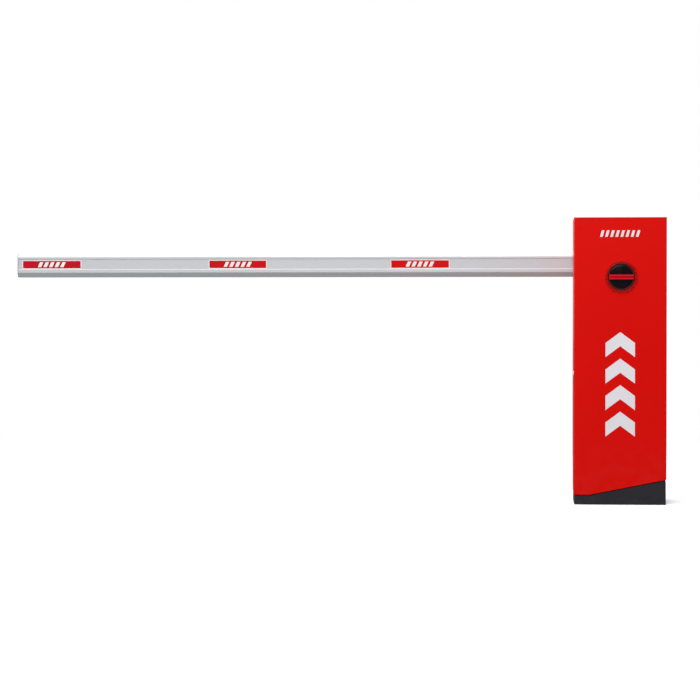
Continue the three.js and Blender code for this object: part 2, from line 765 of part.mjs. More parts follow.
// Bracket on the chassis' right flange; it passes beside the motor and reaches forward under the spring.
function springBracket() {
  const low = bracketTop - springBracketThickness;
  const outer = chassisHalf - chassisPlate - touch;
  const inner = Math.max(motorFlangeRadius, gearboxWidth / 2) + 4;
  const backY = chassisFront - 8;
  const frontEdge = springY - springBracketHalf;
  const rearEdge = springY + springBracketHalf;
  const shelf = box(springX - springBracketHalf, outer, frontEdge, rearEdge, low, bracketTop);
  const arm = box(inner, outer, springY, backY, low, bracketTop);
  const gusset = box(outer - springBracketThickness, outer, frontEdge, backY, bracketTop - 40, bracketTop);
  const hole = bar('z', tensionBoltRadius + touch, low - 1, bracketTop + 1, [springX, springY], 24);
  return cut(join(shelf, arm, gusset), hole);
}

// Threaded rod with one nut above and one below the bracket.
function tensionBolt() {
  const low = bracketTop - springBracketThickness;
  const centre = [springX, springY];
  const rod = bar('z', tensionBoltRadius, low - tensionBoltReach, springBottom - touch, centre, 24);
  const upperNut = bar('z', tensionNutRadius, bracketTop + touch, bracketTop + tensionNutHeight, centre, 6);
  const lowerNut = bar('z', tensionNutRadius, low - tensionNutHeight, low - touch, centre, 6);
  return join(rod, upperNut, lowerNut);
}

place('spring_yoke', springYoke(), zincSteel);
place('balance_spring', balanceSpring(), darkSteel);
place('spring_plug_upper', springPlug(springTop - springPlugLength), zincSteel);
place('spring_plug_lower', springPlug(springBottom), zincSteel);
place('spring_bracket', springBracket(), zincSteel);
place('tension_bolt', tensionBolt(), zincSteel);

// ---------------------------------------------------------------- control gear

const plateLeft = -halfWidth + controlSideGap;
const plateBackY = rodFrontY - controlBoxGap;
const plateFrontY = plateBackY - 3;
const controlTop = shaftZ - controlBoxDrop;
const controlLow = controlTop - controlBoxHeight;
const boxBackY = plateFrontY - touch;
const boxFrontY = boxBackY - controlBoxDepth;
const breakerX = plateLeft + 45;
const breakerTop = controlLow - 15;
const breakerFrontY = boxBackY - breakerDepth;
const toggleZ = breakerTop - breakerHeight / 2;

function equipmentPlate() {
  const strapX = -chassisHalf + chassisPlate + touch;
  const plate = box(plateLeft, plateLeft + controlBoxWidth + 5, plateFrontY, plateBackY,
    breakerTop - breakerHeight - 10, controlTop + 20);
  const strap = box(strapX, strapX + 3, plateFrontY, chassisFront - 8, controlLow + 40, controlTop - 20);
  return join(plate, strap);
}

function controlBox() {
  const shell = box(plateLeft, plateLeft + controlBoxWidth, boxFrontY, boxBackY, controlLow, controlTop);
  const wall = controlBoxWall;
  const room = box(plateLeft + wall, plateLeft + controlBoxWidth - wall, boxFrontY - 1, boxBackY - wall,
    controlLow + wall, controlTop - wall);
  return cut(shell, room);
}

function controlBoxCover() {
  const right = plateLeft + controlBoxWidth;
  const lidBack = boxFrontY - touch;
  const outer = controlBoxWall + touch;
  const inner = 2 * controlBoxWall;
  const lid = box(plateLeft, right, lidBack - controlBoxWall, lidBack, controlLow, controlTop);
  const rim = box(plateLeft + outer, right - outer, lidBack - 1, boxFrontY + 4, controlLow + outer,
    controlTop - outer);
  const hollow = box(plateLeft + inner, right - inner, lidBack, boxFrontY + 5, controlLow + inner,
    controlTop - inner);
  return join(lid, cut(rim, hollow));
}

function circuitBreaker() {
  const half = breakerWidth / 2;
  const low = breakerTop - breakerHeight;
  const shoulderY = breakerFrontY + breakerShoulder;
  const body = box(breakerX - half, breakerX + half, shoulderY, boxBackY, low, breakerTop);
  const nose = box(breakerX - half, breakerX + half, breakerFrontY, boxBackY, toggleZ - breakerNoseHalf,
    toggleZ + breakerNoseHalf);
  const pocket = bar('x', toggleHubRadius + 0.8, breakerX - toggleHalf - 1, breakerX + toggleHalf + 1,
    [breakerFrontY, toggleZ], 24);
  return cut(join(body, nose), pocket);
}

function breakerToggle() {
  const axis = [breakerFrontY, toggleZ];
  const hub = bar('x', toggleHubRadius, breakerX - toggleHalf, breakerX + toggleHalf, axis, 24);
  const lever = new THREE.BoxGeometry(16, 14, 4);
  lever.translate(0, -9, 0);
  lever.rotateX(-Math.PI / 6);
  lever.translate(breakerX, breakerFrontY, toggleZ);
  return join(hub, solid(lever));
}

// Can with a clip ring round its foot.
function capacitor() {
  const ring = capacitorRadius + 3;
  const ringTop = floorTop + 4;
  const top = floorTop + capacitorHeight;
  return turned([
    [0, floorTop],
    [ring, floorTop],
    [ring, ringTop],
    [capacitorRadius, ringTop],
    [capacitorRadius, top - 4],
    [capacitorRadius - 4, top],
    [0, top],
  ], [0, 0], 'z', 24);
}

place('equipment_plate', equipmentPlate(), zincSteel);
place('control_box', controlBox(), greyPlastic);
place('control_box_cover', controlBoxCover(), greyPlastic);
place('circuit_breaker', circuitBreaker(), greyPlastic);
place('breaker_toggle', breakerToggle(), blackPlastic);
place('capacitor', capacitor(), greyPlastic, [capacitorX, 0, 0]);

// ---------------------------------------------------------------- cabinet body, lid, gasket

function cabinetBody() {
  const radii = [0, 0, foldRadius, foldRadius];
  const innerRadii = [0, 0, foldRadius - sheet, foldRadius - sheet];
  const inner = halfWidth - sheet;
  const skin = raise(roundedRectangle(-halfWidth, halfWidth, bodyFrontY, rearY, radii), 0, bodyTop);
  const inside = roundedRectangle(-inner, inner, bodyFrontY + sheet, rearY - sheet, innerRadii);
  const room = raise(inside, -1, bodyTop + 1);
  const slant = runY(faceOutline(0, bodyTop), bodyFrontY - 1, rearY + 1);
  const doorHalf = halfWidth - frameLip;
  const frameBack = bodyFrontY + sheet + 1;
  const doorway = box(-doorHalf, doorHalf, bodyFrontY - 1, frameBack, sillTop, bodyTop - frameLip);
  const shaftOpening = bar('y', shaftHole, rearY - sheet - 1, rearY + 1, [0, shaftZ], 40);
  const lockHole = bar('x', lockCaseRadius + touch, -halfWidth - 1, -inner + 1, [lockY, lockZ]);
  return cut(skin.intersect(slant), room, doorway, shaftOpening, lockHole);
}

// Folded lid with a locating skirt that drops inside the body's walls.
function topCover() {
  const low = lidTop - lidHeight;
  const radii = [0, 0, foldRadius, foldRadius];
  const inner = halfWidth - sheet;
  const pan = raise(roundedRectangle(-halfWidth, halfWidth, bodyFrontY, rearY, radii), low, lidTop);
  const hollow = box(-inner, inner, bodyFrontY + sheet, rearY - sheet, low - 1, lidTop - sheet);
  const reach = inner - touch - 0.2;
  const skirtFront = bodyFrontY + sheet + touch + 0.2;
  const skirtRear = rearY - sheet - touch - 2;
  const skirtLow = bodyTop - lidSkirt;
  const skirt = box(-reach, reach, skirtFront, skirtRear, skirtLow, lidTop - sheet + 0.5);
  const skirtRoom = box(-reach + 2, reach - 2, skirtFront + 2, skirtRear - 2, skirtLow - 1, lidTop - sheet);
  return join(cut(pan, hollow), cut(skirt, skirtRoom));
}

function doorGasket() {
  const outer = halfWidth - gasketInset;
  const inner = outer - gasketWidth;
  const top = bodyTop - gasketInset;
  const low = sillTop - gasketWidth + touch;
  const y0 = bodyFrontY - touch - gasketDepth;
  const ring = box(-outer, outer, y0, bodyFrontY - touch, low, top);
  const room = box(-inner, inner, y0 - 1, bodyFrontY, low + gasketWidth, top - gasketWidth);
  return cut(ring, room);
}

function shaftSeal() {
  return turned([
    [shaftRadius + 0.8, rearY - sheet - 2],
    [shaftHole - touch, rearY - sheet - 2],
    [shaftHole - touch, rearY + touch],
    [shaftHole + 8, rearY + touch],
    [shaftHole + 6, rearY + touch + 4],
    [shaftRadius + 0.8, rearY + touch + 5],
    [shaftRadius + 0.8, rearY - sheet - 2],
  ], [0, shaftZ], 'y', 28);
}

place('cabinet_body', cabinetBody(), redPaint);
place('top_cover', topCover(), redPaint);
place('door_gasket', doorGasket(), blackRubber);
place('shaft_seal', shaftSeal(), blackRubber);

// ---------------------------------------------------------------- front door, hinges, lock, lamp

const hingePlaces = [['upper', hingeUpperZ], ['lower', hingeLowerZ]];

function frontDoor() {
  const inner = halfWidth - sheet;
  const radii = [foldRadius, foldRadius, 0, 0];
  const innerRadii = [foldRadius - sheet, foldRadius - sheet, 0, 0];
  const skin = raise(roundedRectangle(-halfWidth, halfWidth, frontY, doorBackY, radii), 0, cabinetHeight + 1);
  const roomOutline = roundedRectangle(-inner, inner, frontY + sheet, doorBackY + 1, innerRadii);
  const room = raise(roomOutline, 0, cabinetHeight + 1);
  const outside = skin.intersect(runY(faceOutline(0, cabinetHeight), frontY - 1, doorBackY + 1));
  const inside = room.intersect(runY(faceOutline(sheet, cabinetHeight), frontY - 1, doorBackY + 2));
  const lampHole = bar('y', lampRadius, frontY - 1, frontY + sheet + 1, [lampX, lampZ], 40);
  const knuckles = hingePlaces.map(([, z]) => {
    const low = z + hingeLugThickness + 0.5;
    return bar('z', hingeKnuckleRadius, low, low + hingeKnuckleLength, [hingeX, hingeY], 24);
  });
  const bores = hingePlaces.map(([, z]) => {
    const high = z + hingeLugThickness + hingeKnuckleLength + 2;
    return bar('z', hingePinRadius + hingeRunning, z, high, [hingeX, hingeY], 24);
  });
  const notches = hingePlaces.map(([, z]) =>
    box(inner - 1, halfWidth + 1, hingeY - 7, doorBackY + 1, z - 1.5, z + hingeLugThickness + 1.5));
  return cut(join(cut(outside, inside, lampHole, ...notches), ...knuckles), ...bores);
}

// Lug welded to the body's front frame, with the pin that stands up from it.
function hinge(z) {
  const lug = box(hingeX - 4.5, hingeX + 3, hingeY - 5, bodyFrontY - touch, z, z + hingeLugThickness);
  const pinTop = z + hingeLugThickness + hingeKnuckleLength - 2;
  const pin = bar('z', hingePinRadius, z + 1, pinTop, [hingeX, hingeY], 24);
  return join(lug, pin);
}

function lockCase() {
  const outside = -halfWidth;
  const head = bar('x', lockCaseRadius + 3, outside - 3, outside - touch, [lockY, lockZ]);
  const barrel = bar('x', lockCaseRadius, outside - 1, outside + lockCaseLength, [lockY, lockZ]);
  const nut = bar('x', lockCaseRadius + 5, outside + sheet + touch, outside + sheet + 6, [lockY, lockZ], 6);
  const boreEnd = outside + lockCaseLength + 1;
  const bore = bar('x', lockPlugRadius + touch, outside - 4, boreEnd, [lockY, lockZ], 16);
  return cut(join(head, barrel, nut), bore);
}

// Plug with its key slot, and the finger on its inner end, in the open position.
function lockCam() {
  const outside = -halfWidth;
  const inner = outside + lockCaseLength + 0.5;
  const plug = bar('x', lockPlugRadius, outside - 2.5, inner + lockFingerThickness, [lockY, lockZ], 16);
  const keySlot = box(outside - 3, outside + 8, lockY - 3, lockY + 3, lockZ - 0.6, lockZ + 0.6);
  const half = lockFingerWidth / 2;
  const finger = box(inner, inner + lockFingerThickness, lockY - lockFingerLength, lockY + half, lockZ - half,
    lockZ + half);
  return join(cut(plug, keySlot), finger);
}

// Striker on the door: its lip lies behind the raised lock finger.
function doorStrike() {
  const fingerX = -halfWidth + lockCaseLength + 0.5 + lockFingerThickness;
  const plateX = fingerX + 5.5;
  const low = lockZ + 16;
  const lipY = lockY + lockFingerWidth / 2 + 1;
  const doorInner = frontY + sheet + touch;
  const plate = box(plateX, plateX + 3, doorInner, lipY + 3, low, low + 18);
  const lip = box(fingerX - lockFingerThickness - 0.5, plateX + 3, lipY, lipY + 3, low, low + 18);
  const foot = box(plateX, plateX + 21, doorInner, doorInner + 3, low, low + 18);
  return join(plate, lip, foot);
}

function lampHousing() {
  const outer = lampRadius - touch;
  const inner = outer - lampRimWall;
  const seat = frontY + sheet + touch;
  const back = frontY + lampDepth;
  return turned([
    [0, back - 3],
    [inner, back - 3],
    [inner, frontY],
    [outer, frontY],
    [outer, seat],
    [outer + bezelWidth - 2, seat],
    [outer + bezelWidth - 2, seat + 3],
    [outer, seat + 3],
    [outer, back],
    [0, back],
  ], [lampX, lampZ], 'y', 40);
}

function lampBezel() {
  const back = frontY - touch;
  const ring = bar('y', bezelRadius - 2, back - bezelThickness, back, [lampX, lampZ], 40);
  const hole = bar('y', lampRadius, back - 6, back + 1, [lampX, lampZ], 40);
  const ribStart = lampRadius + 1.5;
  const ribDepth = bezelThickness + bezelRibHeight;
  const ribs = Array.from({ length: bezelRibs }, (_, index) => {
    const rib = new THREE.BoxGeometry(bezelRadius - ribStart, ribDepth, bezelRibWidth);
    rib.translate((bezelRadius + ribStart) / 2, back - ribDepth / 2, 0);
    rib.rotateY((index * 2 * Math.PI) / bezelRibs);
    rib.translate(lampX, 0, lampZ);
    return solid(rib);
  });
  return join(cut(ring, hole), ...ribs);
}

const boardY = frontY + boardSetback;
const lensFrontY = frontY - 0.5;
const lensRadius = lampRadius - lampRimWall - 2 * touch;

function lampBar() {
  const back = lensFrontY - touch;
  const strip = box(lampX - lampRadius, lampX + lampRadius, back - lampBarThickness, back,
    lampZ - lampBarHeight / 2, lampZ + lampBarHeight / 2);
  const disc = bar('y', lampRadius - 1, back - lampBarThickness - 1, back + 1, [lampX, lampZ], 40);
  return strip.intersect(disc);
}

function lampDisc(radius, y, thickness, sides) {
  return bar('y', radius, y, y + thickness, [lampX, lampZ], sides);
}

place('front_door', frontDoor(), redPaint);
hingePlaces.forEach(([name, z]) => place(`hinge_${name}`, hinge(z), zincSteel));
place('lock_case', lockCase(), zincSteel);
place('lock_cam', lockCam(), zincSteel);
place('door_strike', doorStrike(), zincSteel);
place('lamp_housing', lampHousing(), blackPlastic);
place('lamp_bezel', lampBezel(), redLens);
place('lamp_lens', lampDisc(lensRadius, lensFrontY, lensThickness, 40), smokedLens);
place('lamp_bar', lampBar(), redLens);
place('lamp_board', lampDisc(lensRadius - 1, boardY, boardThickness, 28), boardGreen);

// ---------------------------------------------------------------- boom, its clamp and its caps

// Section of the boom in YZ about its centre, with or without the long recesses in both faces.
function boomSection(shrink, recessed) {
  const y = boomThickness / 2 - shrink;
  const z = boomHeight / 2 - shrink;
  const shoulder = z - boomChamferHeight;
  const shelfY = y - boomChamferDepth;
  const high = boomRecessOffset + boomRecessHeight / 2;
  const low = boomRecessOffset - boomRecessHeight / 2;
  const floorY = y - boomRecessDepth;
  const farSide = recessed ? [[y, low], [floorY, low], [floorY, high], [y, high]] : [];
  const nearSide = recessed ? [[-y, high], [-floorY, high], [-floorY, low], [-y, low]] : [];
  return [
    [-shelfY, -z], [shelfY, -z], [y, -shoulder],
    ...farSide,
    [y, shoulder], [shelfY, z], [-shelfY, z], [-y, shoulder],
    ...nearSide,
    [-y, -shoulder],
  ];
}

const boomCentreY = boomFrontY + boomThickness / 2;

function boom() {
  const shape = outline(boomSection(0, true));
  shape.holes.push(outline(boomSection(boomWall + boomRecessDepth, false)));
  return runX(shape, boomTipX + boomCapFlange + touch, boomTailX - boomCapFlange - touch);
}

// End cap: an outside flange and a plug that fits the boom's bore. The tail's plug points the other way.
function boomCap(atTip) {
  const flange = outline(boomSection(0.3, false));
  const plug = outline(boomSection(boomWall + boomRecessDepth + touch, false));
  const end = atTip ? boomTipX : boomTailX;
  const inward = atTip ? 1 : -1;
  const flangeEnds = [end, end + inward * boomCapFlange].sort((a, b) => a - b);
  const plugEnds = [end + inward, end + inward * (boomCapFlange + boomCapPlug)].sort((a, b) => a - b);
  return join(runX(flange, ...flangeEnds), runX(plug, ...plugEnds));
}

const boltHeights = [shaftZ - boomBoltRise, shaftZ + boomBoltRise];
const boltPlaces = [-boomBoltX, boomBoltX].flatMap((x) => boltHeights.map((z) => [x, z]));

function clampPlateAt(y0, y1) {
  const half = boomPlateLength / 2;
  const rise = boomBoltRise + 12;
  const corners = [10, 10, 10, 10];
  const plate = runY(roundedRectangle(-half, half, shaftZ - rise, shaftZ + rise, corners), y0, y1, 6);
  return cut(plate, ...boltPlaces.map((centre) => bar('y', boomBoltHole, y0 - 1, y1 + 1, centre, 12)));
}

function boomBracket() {
  const hubY = rearY + boomBracketPlane;
  const plateY = hubY + boomHubLength;
  const hub = bar('y', boomHubRadius, hubY, plateY + 1, [0, shaftZ], 32);
  const bore = bar('y', shaftRadius + touch, hubY - 1, plateY, [0, shaftZ]);
  return cut(join(clampPlateAt(plateY, plateY + boomPlateThickness), hub), bore);
}

place('boom_bracket', boomBracket(), charcoalPaint);
place('clamp_plate', clampPlateAt(boomBackY + touch, boomBackY + touch + boomPlateThickness), charcoalPaint);
place('boom', boom(), anodised, [0, boomCentreY, shaftZ]);
place('boom_tip_cap', boomCap(true), greyPlastic, [0, boomCentreY, shaftZ]);
place('boom_tail_cap', boomCap(false), greyPlastic, [0, boomCentreY, shaftZ]);

export default barrier;
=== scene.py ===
"""Finishes and fine shapes of a parking barrier gate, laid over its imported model."""

import json
import math

import bmesh
import bpy
from mathutils import Matrix, Vector


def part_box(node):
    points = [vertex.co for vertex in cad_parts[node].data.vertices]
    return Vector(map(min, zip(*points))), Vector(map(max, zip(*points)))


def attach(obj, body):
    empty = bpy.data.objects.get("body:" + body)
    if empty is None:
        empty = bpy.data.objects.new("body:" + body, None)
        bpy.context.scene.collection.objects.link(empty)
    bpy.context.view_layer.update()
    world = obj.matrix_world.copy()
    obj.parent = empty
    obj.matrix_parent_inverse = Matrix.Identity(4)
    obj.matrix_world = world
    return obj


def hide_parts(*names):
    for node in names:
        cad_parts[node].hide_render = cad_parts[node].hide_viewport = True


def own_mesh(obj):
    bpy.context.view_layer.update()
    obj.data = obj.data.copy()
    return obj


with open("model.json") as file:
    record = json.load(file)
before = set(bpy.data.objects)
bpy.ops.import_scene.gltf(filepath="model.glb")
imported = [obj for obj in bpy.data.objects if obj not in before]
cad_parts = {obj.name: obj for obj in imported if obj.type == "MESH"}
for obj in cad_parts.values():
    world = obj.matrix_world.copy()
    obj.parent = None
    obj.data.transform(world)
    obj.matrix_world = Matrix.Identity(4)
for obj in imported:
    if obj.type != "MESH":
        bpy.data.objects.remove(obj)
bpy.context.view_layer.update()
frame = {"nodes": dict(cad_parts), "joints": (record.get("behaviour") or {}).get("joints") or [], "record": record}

# ---------------------------------------------------------------- the studio
# A flat pale floor that runs out into a white surround, with broad soft lamps above and in front.
# The camera stands about nine metres from the door, a little to the boom's side, two thirds of the
# cabinet's height above the floor.

scene = bpy.context.scene
scene.view_settings.view_transform = "Standard"

white = (1.0, 1.0, 1.0, 1.0)


def linked(name, data):
    """A new object in the scene."""
    thing = bpy.data.objects.new(name, data)
    scene.collection.objects.link(thing)
    return thing


camera_place = (-0.3234, -9.042, 0.690)
camera_pitch = math.radians(-0.77)
camera_turn = math.radians(4.34)
camera_data = bpy.data.cameras.new("studio_camera")
camera_data.lens = 123.5
camera_data.clip_end = 200.0
camera = linked("studio_camera", camera_data)
camera.location = camera_place
camera.rotation_euler = (math.pi / 2 + camera_pitch, 0.0, camera_turn)
scene.camera = camera


def studio_lamp(name, place, aim, size, watts):
    data = bpy.data.lights.new(name, "AREA")
    data.shape = "RECTANGLE"
    data.size, data.size_y = size
    data.energy = watts
    lamp = linked(name, data)
    lamp.location = place
    lamp.rotation_euler = (Vector(aim) - Vector(place)).to_track_quat("-Z", "Y").to_euler()


studio_lamp("lamp_overhead", (-0.9, 0.2, 5.2), (-0.9, 0.2, 0.0), (5.0, 3.0), 190.0)
studio_lamp("lamp_front", (-1.3, -6.0, 4.4), (-0.5, 0.0, 0.6), (3.0, 3.0), 372.0)
studio_lamp("lamp_left", (-5.2, -2.0, 2.6), (-0.4, 0.0, 0.6), (2.4, 3.0), 75.0)


class Field:
    """A value that varies over a surface; sums and products of fields add their own Math nodes."""

    def __init__(self, bench, socket):
        self.bench = bench
        self.socket = socket

    def math(self, operation, first, second):
        return self.bench.node("ShaderNodeMath", {"operation": operation}, {0: first, 1: second})

    def __add__(self, other):
        return self.math("ADD", self, other)

    def __radd__(self, other):
        return self.math("ADD", other, self)

    def __sub__(self, other):
        return self.math("SUBTRACT", self, other)

    def __rsub__(self, other):
        return self.math("SUBTRACT", other, self)

    def __mul__(self, other):
        return self.math("MULTIPLY", self, other)

    def __rmul__(self, other):
        return self.math("MULTIPLY", other, self)

    def within(self, low, high):
        """0 below low, 1 above high, and a soft step between them."""
        values = {"Value": self, "From Min": low, "From Max": high}
        return self.bench.node("ShaderNodeMapRange", {"interpolation_type": "SMOOTHSTEP"}, values)


class Bench:
    """Adds nodes to one tree, for a finish or for a shape."""

    def __init__(self, tree):
        self.tree = tree

    def node(self, kind, settings=None, values=None, output=0):
        node = self.tree.nodes.new(kind)
        for name, setting in (settings or {}).items():
            setattr(node, name, setting)
        for key, value in (values or {}).items():
            self.feed(node, key, value)
        return Field(self, node.outputs[output])

    def feed(self, node, key, value):
        if isinstance(value, Field):
            self.tree.links.new(value.socket, node.inputs[key])
        else:
            node.inputs[key].default_value = value

    def spot(self, stretch=(1.0, 1.0, 1.0), shift=(0.0, 0.0, 0.0)):
        """Object coordinates, stretched along the axes and then shifted."""
        place = self.node("ShaderNodeTexCoord", output="Object")
        return self.node("ShaderNodeMapping", None, {"Vector": place, "Scale": stretch, "Location": shift})

    def grain(self, scale, detail=2.0, stretch=(1.0, 1.0, 1.0)):
        values = {"Vector": self.spot(stretch), "Scale": scale, "Detail": detail}
        return self.node("ShaderNodeTexNoise", None, values)

    def blend(self, first, second, share):
        return self.node("ShaderNodeMix", {"data_type": "RGBA"}, {0: share, 6: first, 7: second}, 2)

    def relief(self, height, depth, strength=1.0, under=None):
        values = {"Height": height, "Distance": depth, "Strength": strength}
        if under is not None:
            values["Normal"] = under
        return self.node("ShaderNodeBump", None, values)


def new_finish(name, **constants):
    """A Principled finish with its constant settings, and the bench that its fields are made on."""
    material = bpy.data.materials.new(name)
    material.use_nodes = True
    shader = material.node_tree.nodes["Principled BSDF"]
    for socket, value in constants.items():
        shader.inputs[socket.replace("_", " ")].default_value = value
    return material, shader, Bench(material.node_tree)


def dress(shader, bench, colour=None, roughness=None, metallic=None, normal=None):
    fields = {"Base Color": colour, "Roughness": roughness, "Metallic": metallic, "Normal": normal}
    for socket, field in fields.items():
        if field is not None:
            bench.feed(shader, socket, field)


surround = bpy.data.worlds.new("white_surround")
surround.use_nodes = True
scene.world = surround
sky = Bench(surround.node_tree)
heading = sky.node("ShaderNodeTexCoord", output="Generated")
upward = sky.node("ShaderNodeSeparateXYZ", None, {0: heading}, 2)
forward = 0.0 - sky.node("ShaderNodeSeparateXYZ", None, {0: heading}, 1)
dark_front = forward.within(0.1, 0.75) * (1.0 - upward.within(0.25, 0.75))
ambient = sky.blend((0.62, 0.62, 0.64, 1.0), white, upward.within(-0.2, 0.6))
ambient = sky.blend(ambient, (0.035, 0.035, 0.04, 1.0), dark_front)
seen = sky.node("ShaderNodeLightPath", output="Is Camera Ray")
sky.feed(surround.node_tree.nodes["Background"], "Color", sky.blend(ambient, white, seen))

floor_half = 60.0
floor_mesh = bpy.data.meshes.new("studio_floor")
floor_corners = [(-floor_half, -floor_half, 0), (floor_half, -floor_half, 0),
                 (floor_half, floor_half, 0), (-floor_half, floor_half, 0)]
floor_mesh.from_pydata(floor_corners, [], [(0, 1, 2, 3)])
studio_floor = linked("studio_floor", floor_mesh)

floor_paper, floor_shader, paper = new_finish("pale_paper", Roughness=0.9, Specular_IOR_Level=0.1)
looked_at = paper.node("ShaderNodeLightPath", output="Is Camera Ray")
dress(floor_shader, paper, paper.blend((0.13, 0.13, 0.13, 1.0), (0.88, 0.88, 0.89, 1.0), looked_at))
reach = paper.node("ShaderNodeVectorMath", {"operation": "LENGTH"}, {0: paper.spot()}, "Value")
glow = paper.node("ShaderNodeEmission", None, {"Color": white, "Strength": 1.0})
matt = Field(paper, floor_shader.outputs[0])
fade_start, fade_end = 1.0, 5.5
beyond = reach.within(fade_start, fade_end)
fade = paper.node("ShaderNodeMixShader", None, {0: beyond * looked_at, 1: matt, 2: glow})
floor_output = floor_paper.node_tree.nodes["Material Output"]
paper.feed(floor_output, "Surface", fade)
floor_mesh.materials.append(floor_paper)

# ---------------------------------------------------------------- base plate, anchors and gland
# A primed steel plate on the ground, held by four studs with nuts and washers.
# The supply cable comes up through a moulded gland.

node_body = {node: body for body, nodes in frame["record"]["behaviour"]["bodies"].items() for node in nodes}
weld_gap = 1e-6
flat_turn = math.radians(1)


def evaluated(piece):
    """The piece's mesh with its modifiers applied, which are then removed."""
    bpy.context.view_layer.update()
    graph = bpy.context.evaluated_depsgraph_get()
    mesh = bpy.data.meshes.new_from_object(piece.evaluated_get(graph))
    piece.modifiers.clear()
    return mesh


def smoothed(mesh, fold):
    """Smooth shading, with sharp edges where the faces turn by more than the fold, in degrees."""
    for face in mesh.polygons:
        face.use_smooth = True
    mesh.set_sharp_from_angle(angle=math.radians(fold))


def rounded(piece, width, steps=2, fold=40):
    """Breaks the edges of a piece that turn by more than the fold, in degrees; its flats stay flat."""
    bevel = piece.modifiers.new("broken_edges", "BEVEL")
    bevel.width = width
    bevel.segments = steps
    bevel.limit_method = "ANGLE"
    bevel.angle_limit = math.radians(fold)
    piece.data = evaluated(piece)
    smoothed(piece.data, fold)
    even = piece.modifiers.new("even_shading", "WEIGHTED_NORMAL")
    even.keep_sharp = True
    piece.data = evaluated(piece)


def fitted(piece, body, look, replaced=()):
    piece.data.materials.clear()
    piece.data.materials.append(look)
    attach(piece, body)
    if replaced:
        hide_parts(*replaced)


def finished(node, look, edge=0.0005, steps=2, fold=40):
    """A clean copy of one CAD piece with broken edges, which stands for it."""
    mesh = frame["nodes"][node].data.copy()
    work = bmesh.new()
    work.from_mesh(mesh)
    bmesh.ops.remove_doubles(work, verts=work.verts, dist=weld_gap)
    bmesh.ops.dissolve_limit(work, angle_limit=flat_turn, verts=work.verts, edges=work.edges)
    work.to_mesh(mesh)
    work.free()
    piece = linked(node + "_finished", mesh)
    rounded(piece, edge, steps, fold)
    fitted(piece, node_body[node], look, [node])


def dark_primer():
    look, shader, bench = new_finish("dark_primer", Base_Color=(0.05, 0.05, 0.055, 1.0))
    cloud = bench.grain(14.0, 4.0)
    rust = bench.grain(60.0, 6.0).within(0.62, 0.72) * 0.5
    tint = bench.blend((0.05, 0.05, 0.055, 1.0), (0.085, 0.085, 0.09, 1.0), cloud)
    dress(shader, bench, bench.blend(tint, (0.12, 0.05, 0.02, 1.0), rust), 0.55 + rust * 0.3,
          normal=bench.relief(bench.grain(700.0), 0.0002, 0.4))
    return look


def zinc_plate():
    """Bright zinc: cloudy passivation over a fine rolled grain."""
    look, shader, bench = new_finish("zinc_plate", Metallic=0.9)
    cloud = bench.grain(22.0, 3.0)
    warm = bench.grain(9.0, 2.0).within(0.45, 0.75)
    tint = bench.blend((0.50, 0.52, 0.55, 1.0), (0.66, 0.67, 0.68, 1.0), cloud)
    rolled = bench.grain(160.0, 3.0, (1.0, 1.0, 0.06))
    dress(shader, bench, bench.blend(tint, (0.60, 0.58, 0.47, 1.0), warm * 0.45), 0.26 + cloud * 0.22,
          normal=bench.relief(rolled, 0.00012, 0.5))
    return look


def moulded_plastic(name, colour, roughness, gloss=0.5):
    look, shader, bench = new_finish(name, IOR=1.46, Specular_IOR_Level=gloss)
    shade = tuple(0.82 * part for part in colour[:3]) + (1.0,)
    cloud = bench.grain(30.0, 2.0)
    dress(shader, bench, bench.blend(shade, colour, cloud), roughness + cloud * 0.08,
          normal=bench.relief(bench.grain(900.0, 1.0), 0.00012, 0.5))
    return look


primer = dark_primer()
zinc = zinc_plate()
black_plastic = moulded_plastic("black_plastic", (0.016, 0.016, 0.018, 1.0), 0.38, 0.25)
grey_plastic = moulded_plastic("grey_plastic", (0.42, 0.43, 0.44, 1.0), 0.42)

finished("base_plate", primer, 0.0008)
for number in range(1, 5):
    finished(f"anchor_bolt_{number}", zinc, 0.0006)
finished("cable_gland", black_plastic, 0.0008)

# ---------------------------------------------------------------- plinth
# A folded steel skirt, powder coated charcoal with a fine sandy texture.
# Its top edge slants like the shell that stands over it.


def charcoal_coat():
    look, shader, bench = new_finish("charcoal_coat", IOR=1.5, Specular_IOR_Level=0.25)
    cloud = bench.grain(7.0, 3.0)
    height = bench.node("ShaderNodeSeparateXYZ", None, {0: bench.spot()}, 2)
    splash = (1.0 - height.within(0.0, 0.05)) * bench.grain(35.0, 5.0).within(0.45, 0.7)
    tint = bench.blend((0.013, 0.0125, 0.0165, 1.0), (0.018, 0.0175, 0.0235, 1.0), cloud)
    dress(shader, bench, bench.blend(tint, (0.11, 0.10, 0.09, 1.0), splash * 0.12), 0.46 + cloud * 0.1,
          normal=bench.relief(bench.grain(1300.0, 2.0), 0.00022, 0.55))
    return look


charcoal = charcoal_coat()
finished("plinth", charcoal, 0.0007)

# ---------------------------------------------------------------- chassis, shelf, bearings and stops
# A folded plate chassis carries a shelf with two cast pillow blocks. Rubber sleeves on two pins
# stop the rocker at the ends of its travel.


def shape_tree(name, output, **inputs):
    """A geometry tree with its named inputs and one output, the bench for it, and its inputs as fields."""
    tree = bpy.data.node_groups.new(name, "GeometryNodeTree")
    for label, kind in inputs.items():
        tree.interface.new_socket(label, in_out="INPUT", socket_type="NodeSocket" + kind)
    tree.interface.new_socket(output, in_out="OUTPUT", socket_type="NodeSocketGeometry")
    bench = Bench(tree)
    source = tree.nodes.new("NodeGroupInput")
    return tree, bench, {label: Field(bench, source.outputs[label]) for label in inputs}


def end_tree(bench, geometry, finish):
    coated = bench.node("GeometryNodeSetMaterial", None, {"Geometry": geometry, "Material": finish})
    bench.feed(bench.tree.nodes.new("NodeGroupOutput"), 0, coated)


